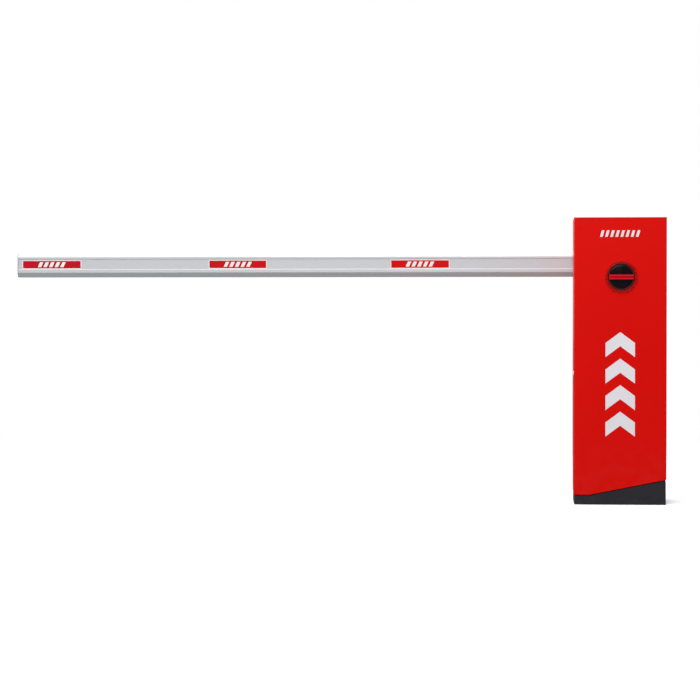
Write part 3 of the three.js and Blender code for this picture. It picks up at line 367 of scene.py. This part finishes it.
fasteners_tree, fixing, given = shape_tree(
    "fasteners_on_places", "Fasteners", Places="Geometry", Fastener="Object", Facing="Vector",
    Finish="Material")
sample = fixing.node("GeometryNodeObjectInfo", None, {"Object": given["Fastener"]}, "Geometry")
aimed = fixing.node("FunctionNodeAlignEulerToVector", {"axis": "Z"}, {"Vector": given["Facing"]})
placed = fixing.node("GeometryNodeInstanceOnPoints", None,
                     {"Points": given["Places"], "Instance": sample, "Rotation": aimed})
end_tree(fixing, fixing.node("GeometryNodeRealizeInstances", None, {0: placed}), given["Finish"])


def with_tree(name, mesh, tree, inputs):
    """Runs one geometry tree on a mesh, with its named inputs, and gives the plain result as a piece."""
    piece = linked(name, mesh)
    maker = piece.modifiers.new("maker", "NODES")
    maker.node_group = tree
    for item in tree.interface.items_tree:
        if item.in_out == "INPUT" and item.name in inputs:
            maker[item.identifier] = inputs[item.name]
    piece.data = evaluated(piece)
    return piece


def turned(name, profile, sides=24):
    """A mesh turned about Z from [radius, height] points that start and end on the axis."""
    mesh = bpy.data.meshes.new(name)
    work = bmesh.new()
    ring = [work.verts.new((radius, 0.0, height)) for radius, height in profile]
    edges = [work.edges.new(pair) for pair in zip(ring, ring[1:])]
    bmesh.ops.spin(work, geom=ring + edges, cent=(0, 0, 0), axis=(0, 0, 1), angle=2 * math.pi,
                   steps=sides, use_merge=True, use_duplicate=False)
    bmesh.ops.remove_doubles(work, verts=work.verts, dist=weld_gap)
    bmesh.ops.recalc_face_normals(work, faces=work.faces)
    work.to_mesh(mesh)
    work.free()
    return mesh


def socket_screw(name, radius, height, washer):
    """A cap screw with a washer and a round socket, standing on z = 0."""
    drive = radius * 0.52
    edge = radius * 0.12
    thick = height * 0.16
    socket_foot = height * 0.45
    socket_taper = 0.98
    profile = [(0.0, 0.0), (washer, 0.0), (washer, thick), (radius, thick), (radius, height - edge),
               (radius - edge, height), (drive, height), (drive * socket_taper, socket_foot),
               (0.0, socket_foot)]
    return linked(name, turned(name, profile, 18))


def hexagon_bolt(name, radius, height, washer, shank=0.0, shank_radius=0.0):
    """A hexagon head on a washer, standing on z = 0, with a shank that may run down behind it."""
    thick = height * 0.25
    stem = shank_radius or radius * 0.5
    prism = height * 0.84
    crown = height * 0.16
    crown_radius = radius * 0.86
    mesh = turned(name, [(0.0, -shank), (stem, -shank), (stem, 0.0), (washer, 0.0), (washer, thick),
                         (0.0, thick)], 20)
    work = bmesh.new()
    work.from_mesh(mesh)
    for foot, depth, top_radius in ((thick, prism, radius), (thick + prism, crown, crown_radius)):
        bmesh.ops.create_cone(work, cap_ends=True, segments=6, radius1=radius, radius2=top_radius,
                              depth=depth, matrix=Matrix.Translation((0, 0, foot + depth / 2)))
    work.to_mesh(mesh)
    work.free()
    return linked(name, mesh)


def fastened(name, sample_piece, places, facing, body, look=None):
    """Copies of one fastener at a list of places, as one piece on one body."""
    mesh = bpy.data.meshes.new(name)
    mesh.from_pydata(places, [], [])
    piece = with_tree(name, mesh, fasteners_tree,
                      {"Fastener": sample_piece, "Facing": facing, "Finish": look or zinc})
    smoothed(piece.data, 35)
    fitted(piece, body, look or zinc)


def rubber(name, colour):
    look, shader, bench = new_finish(name, Specular_IOR_Level=0.3)
    cloud = bench.grain(40.0, 4.0)
    pale = tuple(2.2 * part for part in colour[:3]) + (1.0,)
    dress(shader, bench, bench.blend(colour, pale, cloud.within(0.4, 0.8)), 0.72 + cloud * 0.12,
          normal=bench.relief(bench.grain(500.0, 2.0), 0.0002, 0.4))
    return look


def cast_enamel():
    look, shader, bench = new_finish("cast_enamel", Coat_Weight=0.15)
    cloud = bench.grain(18.0, 4.0)
    cast = bench.grain(260.0, 3.0)
    tint = bench.blend((0.075, 0.09, 0.105, 1.0), (0.115, 0.135, 0.155, 1.0), cloud)
    dress(shader, bench, tint, 0.42 + cloud * 0.14, normal=bench.relief(cast, 0.0006, 0.6))
    return look


black_rubber = rubber("black_rubber", (0.012, 0.012, 0.012, 1.0))
enamel = cast_enamel()
small_screw = socket_screw("small_screw", 0.0035, 0.0042, 0.0045)
plate_screw = hexagon_bolt("plate_screw", 0.0072, 0.0055, 0.0085)
screw_samples = [small_screw, plate_screw]

finished("chassis", zinc, 0.0008)
finished("bearing_shelf", zinc, 0.0006)
for node in ("stop_buffer_down", "stop_buffer_up"):
    finished(node, black_rubber, 0.0008)
bearing_foot = 0.0118
foot_inset = 0.009
for node in ("bearing_front", "bearing_rear"):
    finished(node, enamel, 0.0009)
    low, high = (Vector(corner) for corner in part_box(node))
    middle = (low.y + high.y) / 2
    foot_places = [(x, middle, low.z + bearing_foot) for x in (low.x + foot_inset, high.x - foot_inset)]
    fastened(node + "_screws", plate_screw, foot_places, (0, 0, 1), "cabinet")

# ---------------------------------------------------------------- gearbox, motor and hand wheel
# A cast reduction gearbox on the back plate; a finned motor hangs under it, and a hand wheel on the
# motor's lower end winds the boom when the power is off.

finished("gearbox", enamel, 0.0015, 3)
box_low, box_high = (Vector(corner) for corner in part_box("gearbox"))
axle_x = (box_low.x + box_high.x) / 2
axle_z = (box_low.z + box_high.z) / 2
cover_ring = 0.0405
cover_places = [(axle_x + cover_ring * math.cos(turn), box_low.y, axle_z + cover_ring * math.sin(turn))
                for turn in (math.radians(30 + 60 * step) for step in range(6))]
fastened("gearbox_cover_screws", small_screw, cover_places, (0, -1, 0), "cabinet")
ear_depth = 0.0101
ear_inset = 0.008
ear_rise = 0.036
ear_places = [(x, box_high.y - ear_depth, z) for x in (box_low.x + ear_inset, box_high.x - ear_inset)
              for z in (axle_z - ear_rise, axle_z + ear_rise)]
fastened("gearbox_ear_bolts", plate_screw, ear_places, (0, -1, 0), "cabinet")

fins_tree, fins, on_barrel = shape_tree(
    "fins_round_a_barrel", "Finned", Barrel="Geometry", Count="Int", Middle="Vector", Reach="Float",
    Size="Vector", Finish="Material")
facing = fins.node("GeometryNodeInputPosition")
ring = fins.node("GeometryNodeMeshCircle", None,
                 {"Vertices": on_barrel["Count"], "Radius": on_barrel["Reach"]})
outward = fins.node("FunctionNodeAlignEulerToVector", {"axis": "X"}, {"Vector": facing})
fin = fins.node("GeometryNodeMeshCube", None, {"Size": on_barrel["Size"]})
stood = fins.node("GeometryNodeInstanceOnPoints", None,
                  {"Points": ring, "Instance": fin, "Rotation": outward})
moved = fins.node("GeometryNodeTransform", None, {"Geometry": stood, "Translation": on_barrel["Middle"]})
both = fins_tree.nodes.new("GeometryNodeJoinGeometry")
for branch in (on_barrel["Barrel"], fins.node("GeometryNodeRealizeInstances", None, {0: moved})):
    fins_tree.links.new(branch.socket, both.inputs[0])
end_tree(fins, Field(fins, both.outputs[0]), on_barrel["Finish"])

motor_low, motor_high = (Vector(corner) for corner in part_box("motor"))
motor_x = (motor_low.x + motor_high.x) / 2
motor_y = (motor_low.y + motor_high.y) / 2
flange = (motor_high.x - motor_low.x) / 2
barrel = 0.0470
barrel_top = 0.158
end_slope = 0.006
flange_foot, flange_top = 0.175, 0.185
flange_edge = 0.001
fin_tip = 0.0520
fin_foot = 0.024
fin_length = 0.132
fin_thickness = 0.0018
fin_sink = 0.0005
barrel_profile = [(0.0, 0.0), (barrel - end_slope, 0.0), (barrel, end_slope), (barrel, barrel_top),
                  (barrel + flange_edge, flange_foot - flange_edge), (flange - flange_edge, flange_foot),
                  (flange, flange_foot + flange_edge), (flange, flange_top - flange_edge),
                  (flange - flange_edge, flange_top), (0.0, flange_top)]
motor_mesh = turned("motor_barrel", barrel_profile, 48)
motor_mesh.transform(Matrix.Translation((motor_x, motor_y, motor_low.z)))
motor_piece = with_tree("motor_finned", motor_mesh, fins_tree, {
    "Count": 32, "Middle": (motor_x, motor_y, motor_low.z + fin_foot + fin_length / 2),
    "Reach": (barrel + fin_tip) / 2 - fin_sink,
    "Size": (fin_tip - barrel + 2 * fin_sink, fin_thickness, fin_length), "Finish": enamel})
motor_piece.data.set_sharp_from_angle(angle=math.radians(30))
fitted(motor_piece, "cabinet", enamel, ["motor"])
flange_ring = 0.0535
flange_under = motor_high.z - (flange_top - flange_foot)
flange_places = [(motor_x + flange_ring * math.cos(turn),
                  motor_y + flange_ring * math.sin(turn), flange_under)
                 for turn in (math.radians(45 + 90 * step) for step in range(4))]
fastened("motor_flange_screws", small_screw, flange_places, (0, 0, -1), "cabinet")
finished("hand_wheel", black_plastic, 0.0009)

# ---------------------------------------------------------------- main shaft and linkage
# Ground steel shaft and pins; the rocker, the crank and the rod are plates cut from zinc-plated steel.
# Two cams on the shaft work the limit switches beside them.


def ground_steel():
    look, shader, bench = new_finish("ground_steel", Metallic=1.0)
    rings = bench.grain(240.0, 2.0, (1.0, 8.0, 1.0))
    cloud = bench.grain(25.0, 3.0)
    tint = bench.blend((0.33, 0.34, 0.36, 1.0), (0.50, 0.51, 0.53, 1.0), cloud)
    dress(shader, bench, tint, 0.2 + rings * 0.2, normal=bench.relief(rings, 0.00008, 0.5))
    return look


ground = ground_steel()
for node in ("main_shaft", "rod_pin_upper", "rod_pin_lower", "yoke_pin"):
    finished(node, ground, 0.0008)
for node in ("rocker", "crank", "connecting_rod"):
    finished(node, zinc, 0.0007)
for node in ("limit_cam_down", "limit_cam_up"):
    finished(node, black_plastic, 0.0004)
for node in ("limit_switch_down", "limit_switch_up"):
    finished(node, grey_plastic, 0.0006)

shaft_low, shaft_high = (Vector(corner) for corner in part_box("main_shaft"))
shaft_z = (shaft_low.z + shaft_high.z) / 2
end_bolt = hexagon_bolt("end_bolt", 0.0105, 0.007, 0.0155)
screw_samples.append(end_bolt)
fastened("shaft_end_bolt", end_bolt, [(0.0, shaft_low.y, shaft_z)], (0, -1, 0), "boom_arm")
crank_low = Vector(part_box("crank")[0])
fastened("crank_end_bolt", end_bolt, [(0.0, crank_low.y, axle_z)], (0, -1, 0), "crank_arm")

# ---------------------------------------------------------------- balance spring
# A tension coil of oiled wire between two screwed plugs. It hangs from the slotted yoke and is
# set by the bolt through its bracket. It shortens as the boom rises, but the coil here is built at
# one length.


def spring_wire():
    look, shader, bench = new_finish("spring_wire", Metallic=0.85)
    cloud = bench.grain(55.0, 3.0)
    tint = bench.blend((0.06, 0.06, 0.065, 1.0), (0.15, 0.15, 0.16, 1.0), cloud)
    dress(shader, bench, tint, 0.26 + cloud * 0.2,
          normal=bench.relief(bench.grain(420.0, 2.0), 0.0001, 0.4))
    return look


coil_tree, coil, wound = shape_tree(
    "coil_of_wire", "Coil", Start="Geometry", Turns="Float", Radius="Float", Length="Float", Wire="Float",
    Foot="Vector", Finish="Material")
helix = coil.node("GeometryNodeCurveSpiral", None, {
    "Resolution": 24, "Rotations": wound["Turns"], "Start Radius": wound["Radius"],
    "End Radius": wound["Radius"], "Height": wound["Length"]})
wire = coil.node("GeometryNodeCurvePrimitiveCircle", None, {"Resolution": 10, "Radius": wound["Wire"]})
swept = coil.node("GeometryNodeCurveToMesh", None,
                  {"Curve": helix, "Profile Curve": wire, "Fill Caps": True})
stood_coil = coil.node("GeometryNodeTransform", None, {"Geometry": swept, "Translation": wound["Foot"]})
end_tree(coil, coil.node("GeometryNodeRealizeInstances", None, {0: stood_coil}), wound["Finish"])

oiled_wire = spring_wire()
spring_low, spring_high = (Vector(corner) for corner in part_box("balance_spring"))
wire_radius = 0.0027
spring_length = spring_high.z - spring_low.z
coil_radius = (spring_high.x - spring_low.x) / 2 - wire_radius
spring_x = (spring_low.x + spring_high.x) / 2
spring_y = (spring_low.y + spring_high.y) / 2
spring_piece = with_tree("balance_spring_coil", bpy.data.meshes.new("coil_start"), coil_tree, {
    "Turns": 38.0, "Radius": coil_radius, "Length": spring_length - 2 * wire_radius, "Wire": wire_radius,
    "Foot": (spring_x, spring_y, spring_low.z + wire_radius), "Finish": oiled_wire})
for face in spring_piece.data.polygons:
    face.use_smooth = True
fitted(spring_piece, "cabinet", oiled_wire, ["balance_spring"])
yoke_travel = next(joint["range_m"][1] for joint in frame["joints"] if joint["name"] == "yoke_pull")
1 - yoke_travel / spring_length
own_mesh(spring_piece)

for node in ("spring_yoke", "spring_bracket"):
    finished(node, zinc, 0.0007)
for node in ("spring_plug_upper", "spring_plug_lower"):
    finished(node, zinc, 0.0008)
finished("tension_bolt", zinc, 0.0006)
bracket_high = Vector(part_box("spring_bracket")[1])
bracket_flange = 0.0061
bracket_drop = 0.020
bracket_insets = (0.012, 0.042)
bracket_places = [(bracket_high.x - bracket_flange, bracket_high.y - inset, bracket_high.z - bracket_drop)
                  for inset in bracket_insets]
fastened("bracket_bolts", plate_screw, bracket_places, (-1, 0, 0), "cabinet")

# ---------------------------------------------------------------- control gear
# A zinc-plated equipment plate holds the moulded control box, its screwed cover and the breaker.
# The motor's capacitor stands on the base plate.

finished("equipment_plate", zinc, 0.0005)
finished("control_box", grey_plastic, 0.0010)
finished("control_box_cover", grey_plastic, 0.0012, 3)
finished("circuit_breaker", grey_plastic, 0.0008)
finished("breaker_toggle", black_plastic, 0.0007)
finished("capacitor", grey_plastic, 0.0010)

cover_low, cover_high = (Vector(corner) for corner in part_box("control_box_cover"))
corner_inset = 0.009
cover_corners = [(x, cover_low.y, z) for x in (cover_low.x + corner_inset, cover_high.x - corner_inset)
                 for z in (cover_low.z + corner_inset, cover_high.z - corner_inset)]
fastened("cover_screws", small_screw, cover_corners, (0, -1, 0), "cabinet")

slat_mesh = bpy.data.meshes.new("vent_slat")
slat_work = bmesh.new()
slat_size = (0.062, 0.0022, 0.0016, 1.0)
bmesh.ops.create_cube(slat_work, size=1.0, matrix=Matrix.Diagonal(slat_size))
slat_work.to_mesh(slat_mesh)
slat_work.free()
slat_sample = linked("vent_slat", slat_mesh)
screw_samples.append(slat_sample)
cover_x = (cover_low.x + cover_high.x) / 2
slat_foot = 0.022
slat_pitch = 0.0052
slat_places = [(cover_x, cover_low.y, cover_low.z + slat_foot + slat_pitch * step) for step in range(10)]
fastened("cover_slats", slat_sample, slat_places, (0, 0, 1), "cabinet", grey_plastic)

# ---------------------------------------------------------------- cabinet shell
# Folded sheet steel, powder coated a glossy red: the body, its lid, and the seals at the doorway and
# round the shaft.


def red_coat():
    """Gloss powder coat: faint orange peel, slight shade changes, road dust low down."""
    look, shader, bench = new_finish("red_coat", IOR=1.5, Specular_IOR_Level=0.12)
    cloud = bench.grain(2.2, 2.0)
    height = bench.node("ShaderNodeSeparateXYZ", None, {0: bench.spot()}, 2)
    dust = (1.0 - height.within(0.03, 0.30)) * bench.grain(26.0, 6.0).within(0.35, 0.8)
    tint = bench.blend((0.600, 0.0030, 0.0014, 1.0), (0.650, 0.0036, 0.0017, 1.0), cloud)
    peel = bench.grain(330.0, 1.0)
    dress(shader, bench, bench.blend(tint, (0.33, 0.10, 0.075, 1.0), dust * 0.06),
          0.27 + cloud * 0.05 + dust * 0.12, normal=bench.relief(peel, 0.00016, 0.35))
    return look


red_powder = red_coat()
finished("cabinet_body", red_powder, 0.0007)
finished("top_cover", red_powder, 0.0010)
finished("door_gasket", black_rubber, 0.0012, 3)
finished("shaft_seal", black_rubber, 0.0008)

body_low, body_high = (Vector(corner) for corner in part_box("cabinet_body"))
rear_inset = 0.075
rear_rows = (0.22, 0.66)
rear_places = [(x, body_high.y, z) for x in (body_low.x + rear_inset, body_high.x - rear_inset)
               for z in rear_rows]
dome_screw = socket_screw("dome_screw", 0.0052, 0.0030, 0.0068)
screw_samples.append(dome_screw)
fastened("rear_wall_screws", dome_screw, rear_places, (0, 1, 0), "cabinet")

# ---------------------------------------------------------------- front door
# An overlay door folded from the same red sheet, hung on two hidden pins, with a cam lock on the
# cabinet's side. Cut vinyl marks on it: upward chevrons and a row of slanted dashes.

finished("front_door", red_powder, 0.0007)
for node in ("hinge_upper", "hinge_lower", "lock_case", "lock_cam", "door_strike"):
    finished(node, zinc, 0.0005)


def vinyl(name, colour, roughness=0.32):
    look, shader, bench = new_finish(name, IOR=1.45)
    cloud = bench.grain(12.0, 2.0)
    shade = tuple(0.93 * part for part in colour[:3]) + (1.0,)
    dress(shader, bench, bench.blend(shade, colour, cloud), roughness + cloud * 0.06,
          normal=bench.relief(bench.grain(600.0, 1.0), 0.00005, 0.3))
    return look


def film(name, outlines, y, thickness, outward, body, look):
    """Flat shapes in XZ cut from film, lying on a face that looks along -Y (outward -1) or +Y."""
    mesh = bpy.data.meshes.new(name)
    work = bmesh.new()
    for corners in outlines:
        back = [work.verts.new((x, y, z)) for x, z in corners]
        front = [work.verts.new((x, y + outward * thickness, z)) for x, z in corners]
        work.faces.new(back)
        work.faces.new(front[::-1])
        count = len(corners)
        for index in range(count):
            after = (index + 1) % count
            work.faces.new((back[after], back[index], front[index], front[after]))
    bmesh.ops.recalc_face_normals(work, faces=work.faces)
    work.to_mesh(mesh)
    work.free()
    fitted(linked(name, mesh), body, look)


door_low = Vector(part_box("front_door")[0])
white_vinyl = vinyl("white_vinyl", (0.74, 0.71, 0.75, 1.0))
film_thickness = 0.00025
film_lift = 0.00002
mark_half = 0.054
mark_foot = 0.252
mark_pitch = 0.0977
mark_rise = 0.040
mark_stroke = 0.052
chevrons = []
for step in range(4):
    foot = mark_foot + mark_pitch * step
    chevrons.append([(-mark_half, foot), (0.0, foot + mark_rise), (mark_half, foot),
                     (mark_half, foot + mark_stroke), (0.0, foot + mark_rise + mark_stroke),
                     (-mark_half, foot + mark_stroke)])
film("door_chevrons", chevrons, door_low.y - film_lift, film_thickness, -1, "door", white_vinyl)

dash_count = 8
dash_row = (-0.075, 0.073)
dash_foot, dash_top = 0.988, 1.012
dash_width = 0.0095
dash_lean = 0.007
dash_pitch = (dash_row[1] - dash_row[0] - dash_width - dash_lean) / (dash_count - 1)
dashes = []
for step in range(dash_count):
    left = dash_row[0] + dash_pitch * step
    dashes.append([(left, dash_foot), (left + dash_width, dash_foot),
                   (left + dash_width + dash_lean, dash_top), (left + dash_lean, dash_top)])
film("door_dashes", dashes, door_low.y - film_lift, film_thickness, -1, "door", white_vinyl)

# ---------------------------------------------------------------- signal lamp
# A smoked lens with a red light bar across it, in a black cup behind the door; thin brighter strips
# along the bar's edges are painted highlights. The red bezel round it is moulded with fine radial
# ribs; the grooves between the ribs are painted near-black red as painted shade.

lens_low, lens_high = (Vector(corner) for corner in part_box("lamp_lens"))
lamp_x = (lens_low.x + lens_high.x) / 2
lamp_z = (lens_low.z + lens_high.z) / 2


def lens_plastic(name, deep, light, ring_scale, roughness):
    """Clear moulding with rings pressed in it round the lamp's axis."""
    look, shader, bench = new_finish(name, IOR=1.49, Specular_IOR_Level=0.1)
    centred = bench.spot((1.0, 1.0, 1.0), (-lamp_x, 0.0, -lamp_z))
    rings = bench.node("ShaderNodeTexWave", {"wave_type": "RINGS", "rings_direction": "Y"},
                       {"Vector": centred, "Scale": ring_scale}, 1)
    cloud = bench.grain(45.0, 2.0)
    dress(shader, bench, bench.blend(deep, light, rings * 0.5 + cloud * 0.3), roughness + cloud * 0.06,
          normal=bench.relief(rings, 0.0004, 0.35))
    return look


smoked = lens_plastic("smoked_lens", (0.0045, 0.0030, 0.0045, 1.0), (0.009, 0.005, 0.007, 1.0), 95.0, 0.16)
# painted shade: the bezel's grooves are the same red moulding, coloured near-black where shade falls
painted_shade_groove_red = lens_plastic("painted_shade_groove_red", (0.05, 0.0008, 0.0008, 1.0), (0.09, 0.001, 0.001, 1.0), 160.0, 0.4)
rib_red = lens_plastic("rib_red", (0.58, 0.003, 0.002, 1.0), (0.66, 0.004, 0.0025, 1.0), 160.0, 0.3)
bar_red = lens_plastic("bar_red", (0.36, 0.002, 0.004, 1.0), (0.50, 0.003, 0.007, 1.0), 60.0, 0.22)
board_green = moulded_plastic("board_green", (0.02, 0.14, 0.05, 1.0), 0.35)

finished("lamp_housing", black_plastic, 0.0005)
finished("lamp_board", board_green, 0.0003)

lens_radius = (lens_high.x - lens_low.x) / 2
lens_thick = lens_high.y - lens_low.y
dome_steps = 10
dome_share = 0.28
dome_turns = [step * math.pi / (2 * dome_steps) for step in range(1, dome_steps + 1)]
dome = [(0.0, lens_thick)] + [
    (lens_radius * math.sin(turn), lens_thick * (1 - dome_share + dome_share * math.cos(turn)))
    for turn in dome_turns]
lens_profile = [(0.0, 0.0), (lens_radius, 0.0), (lens_radius, lens_thick * 0.5)] + dome[::-1]
lens_mesh = turned("lamp_lens_dome", lens_profile, 64)
to_door_face = Matrix.Rotation(math.pi / 2, 4, "X")
lens_mesh.transform(Matrix.Translation((lamp_x, lens_high.y, lamp_z)) @ to_door_face)
lens_piece = linked("lamp_lens_dome", lens_mesh)
smoothed(lens_mesh, 35)
fitted(lens_piece, "door", smoked, ["lamp_lens"])

finished("lamp_bar", bar_red, 0.0008, 3)
bar_low, bar_high = (Vector(corner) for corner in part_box("lamp_bar"))
# painted highlights: two brighter red strips along the bar's top and bottom edges, where the edges catch the light
edge_height = 0.0022
edge_inset = 0.0012
edge_end = 0.0015
edge_film = 0.0002
edge_lift = 0.00001
bar_half = math.sqrt(((bar_high.x - bar_low.x) / 2) ** 2 - ((bar_high.z - bar_low.z) / 2) ** 2) - edge_end
bar_edges = [[(lamp_x - bar_half, z), (lamp_x + bar_half, z), (lamp_x + bar_half, z + edge_height),
              (lamp_x - bar_half, z + edge_height)]
             for z in (bar_low.z + edge_inset, bar_high.z - edge_inset - edge_height)]
# the red of the painted highlights along the bar's edges
painted_highlight_red = vinyl("painted_highlight_red", (0.60, 0.012, 0.020, 1.0), 0.3)
film("lamp_bar_edges", bar_edges, bar_low.y - edge_lift, edge_film, -1, "door", painted_highlight_red)

bezel_low, bezel_high = (Vector(corner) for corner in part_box("lamp_bezel"))
bezel_reach = (bezel_high.x - bezel_low.x) / 2
bezel_mouth = 0.0472
ring_height = 0.0016
ring_rim = bezel_reach - 0.002
ring_shoulder = bezel_reach - 0.003
lip_top = ring_height + 0.0008
lip_widths = (0.0022, 0.0016, 0.0006)
rib_top = bezel_high.y - bezel_low.y
ring_profile = [(bezel_mouth, 0.0), (ring_rim, 0.0), (ring_rim, ring_height * 0.5),
                (ring_shoulder, ring_height), (bezel_mouth + lip_widths[0], ring_height),
                (bezel_mouth + lip_widths[1], lip_top), (bezel_mouth + lip_widths[2], lip_top),
                (bezel_mouth, ring_height), (bezel_mouth, 0.0)]
bezel_mesh = turned("lamp_bezel_ribbed", ring_profile, 72)
rib_length = bezel_reach - bezel_mouth - 0.0032
rib_width = 0.0034
rib_inset = 0.0002
rib_count = 54
onto_door = Matrix.Translation((lamp_x, bezel_high.y, lamp_z)) @ to_door_face
bezel_piece = linked("lamp_bezel_ring", bezel_mesh)
ribs_piece = with_tree("lamp_bezel_ribs", bpy.data.meshes.new("ribs_start"), fins_tree, {
    "Count": rib_count, "Middle": (0.0, 0.0, rib_top / 2), "Reach": bezel_reach - rib_length / 2 - rib_inset,
    "Size": (rib_length, rib_width, rib_top), "Finish": rib_red})
# the ring between the ribs takes the painted-shade red, the ribs the plain red
for piece, look, replaced in ((bezel_piece, painted_shade_groove_red, ["lamp_bezel"]), (ribs_piece, rib_red, [])):
    piece.data.transform(onto_door)
    rounded(piece, 0.0004, 2)
    fitted(piece, "door", look, replaced)

# ---------------------------------------------------------------- boom and clamp
# A hollow eight-sided aluminium extrusion, satin anodised, held between two coated plates by four
# bolts. Grey caps close its ends; red reflective strips with white borders lie in its recess, their
# red painted brighter near the cabinet and duller towards the tip as painted light and shade.


def anodised_extrusion():
    """Die lines run the length of the boom."""
    look, shader, bench = new_finish("anodised_extrusion", Metallic=0.25)
    lines = bench.grain(900.0, 3.0, (0.004, 1.0, 1.0))
    cloud = bench.grain(1.6, 3.0, (0.5, 1.0, 1.0))
    tint = bench.blend((0.51, 0.517, 0.54, 1.0), (0.58, 0.586, 0.61, 1.0), cloud)
    dress(shader, bench, bench.blend(tint, (0.40, 0.41, 0.435, 1.0), lines.within(0.55, 0.8) * 0.35),
          0.30 + lines * 0.16, normal=bench.relief(lines, 0.00012, 0.5))
    return look


anodised = anodised_extrusion()
section_fold = 25        # the boom's slanted faces turn by less than its corners do
finished("boom", anodised, 0.0007, 2, section_fold)
for node in ("boom_tip_cap", "boom_tail_cap"):
    finished(node, grey_plastic, 0.0007, 2, section_fold)
for node in ("boom_bracket", "clamp_plate"):
    finished(node, charcoal, 0.0010)

clamp_high = Vector(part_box("clamp_plate")[1])
hub_high = Vector(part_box("boom_bracket")[1])
bolt_reach = 0.080
bolt_rise = 0.058
bolt_radius, bolt_washer, bolt_shank = 0.0105, 0.0125, 0.006
bolt_tail = 0.0095
plate_thickness = 0.008
nut_face = hub_high.y - plate_thickness
clamp_length = clamp_high.y - hub_high.y + plate_thickness + bolt_tail
clamp_bolt = hexagon_bolt("clamp_bolt", bolt_radius, 0.0075, bolt_washer, clamp_length, bolt_shank)
clamp_nut = hexagon_bolt("clamp_nut", bolt_radius, 0.0068, bolt_washer, 0.001, bolt_shank)
screw_samples += [clamp_bolt, clamp_nut]
clamp_corners = [(x, shaft_z + rise) for x in (-bolt_reach, bolt_reach) for rise in (-bolt_rise, bolt_rise)]
fastened("clamp_bolts", clamp_bolt, [(x, clamp_high.y, z) for x, z in clamp_corners], (0, 1, 0), "boom_arm")
fastened("clamp_nuts", clamp_nut, [(x, nut_face, z) for x, z in clamp_corners], (0, -1, 0), "boom_arm")

boom_low, boom_high = (Vector(corner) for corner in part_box("boom"))
boom_z = (boom_low.z + boom_high.z) / 2
recess_depth = 0.0015
strip_half_height = 0.0172
strip_offset = 0.0012
border = 0.0028
border_film, upper_film = 0.0002, 0.0001
bars_width = 0.110
bars_margin = 0.0075
bar_thickness = 0.013
bar_lean = 0.009
strip_ends = [(-2.301, -2.069), (-1.571, -1.345), (-0.867, -0.640)]
reflector_white = vinyl("reflector_white", (0.78, 0.77, 0.79, 1.0), 0.25)


def reflector_red():
    """Prismatic sheeting: a fine cell pattern under a clear face. Its red is painted duller towards the boom's tip
    and brighter towards the cabinet: painted shade and painted light.
    """
    look, shader, bench = new_finish("reflector_red", IOR=1.5, Specular_IOR_Level=0.15)
    cells = bench.node("ShaderNodeTexVoronoi", {"feature": "DISTANCE_TO_EDGE"},
                       {"Vector": bench.spot(), "Scale": 420.0})
    along = bench.node("ShaderNodeSeparateXYZ", None, {0: bench.spot()}, 0)
    # painted light and shade: the red runs from dull at the boom's tip to bright near the cabinet
    base = bench.blend((0.41, 0.006, 0.016, 1.0), (0.56, 0.003, 0.003, 1.0), along.within(-2.2, -0.8))
    face = bench.blend(base, (0.60, 0.015, 0.015, 1.0), cells.within(0.0, 0.25) * 0.25)
    dress(shader, bench, face, 0.24 + cells * 0.1)
    return look


strip_red = reflector_red()


def rectangle(x0, x1, z0, z1):
    return [(x0, z0), (x1, z0), (x1, z1), (x0, z1)]


def slanted_bars(middle, width, foot, top, count, thickness, lean):
    """Parallel slanted bars, evenly spaced over a width."""
    pitch = (width - thickness - lean) / (count - 1)
    starts = [middle - width / 2 + pitch * step for step in range(count)]
    return [[(x, foot), (x + thickness, foot), (x + thickness + lean, top), (x + lean, top)] for x in starts]


recess_floor = {-1: boom_low.y + recess_depth, 1: boom_high.y - recess_depth}
for side, face_name in ((-1, "front"), (1, "rear")):
    layer = recess_floor[side] + side * film_lift
    field_layer = layer + side * border_film
    bar_layer = field_layer + side * upper_film
    borders, fields, bars = [], [], []
    foot = boom_z + strip_offset - strip_half_height
    top = boom_z + strip_offset + strip_half_height
    for start, end in strip_ends:
        borders.append(rectangle(start, end, foot, top))
        fields.append(rectangle(start + border, end - border, foot + border, top - border))
        bars += slanted_bars((start + end) / 2, bars_width, foot + bars_margin, top - bars_margin, 5,
                             bar_thickness, bar_lean)
    for kind, outlines, at, thickness, look in (
            ("borders", borders, layer, border_film, reflector_white),
            ("fields", fields, field_layer, upper_film, strip_red),
            ("bars", bars, bar_layer, upper_film, reflector_white)):
        film(f"strip_{kind}_{face_name}", outlines, at, thickness, side, "boom_arm", look)

# ---------------------------------------------------------------- loose samples
# The loose fastener samples are removed.

for loose in screw_samples:
    bpy.data.objects.remove(loose)
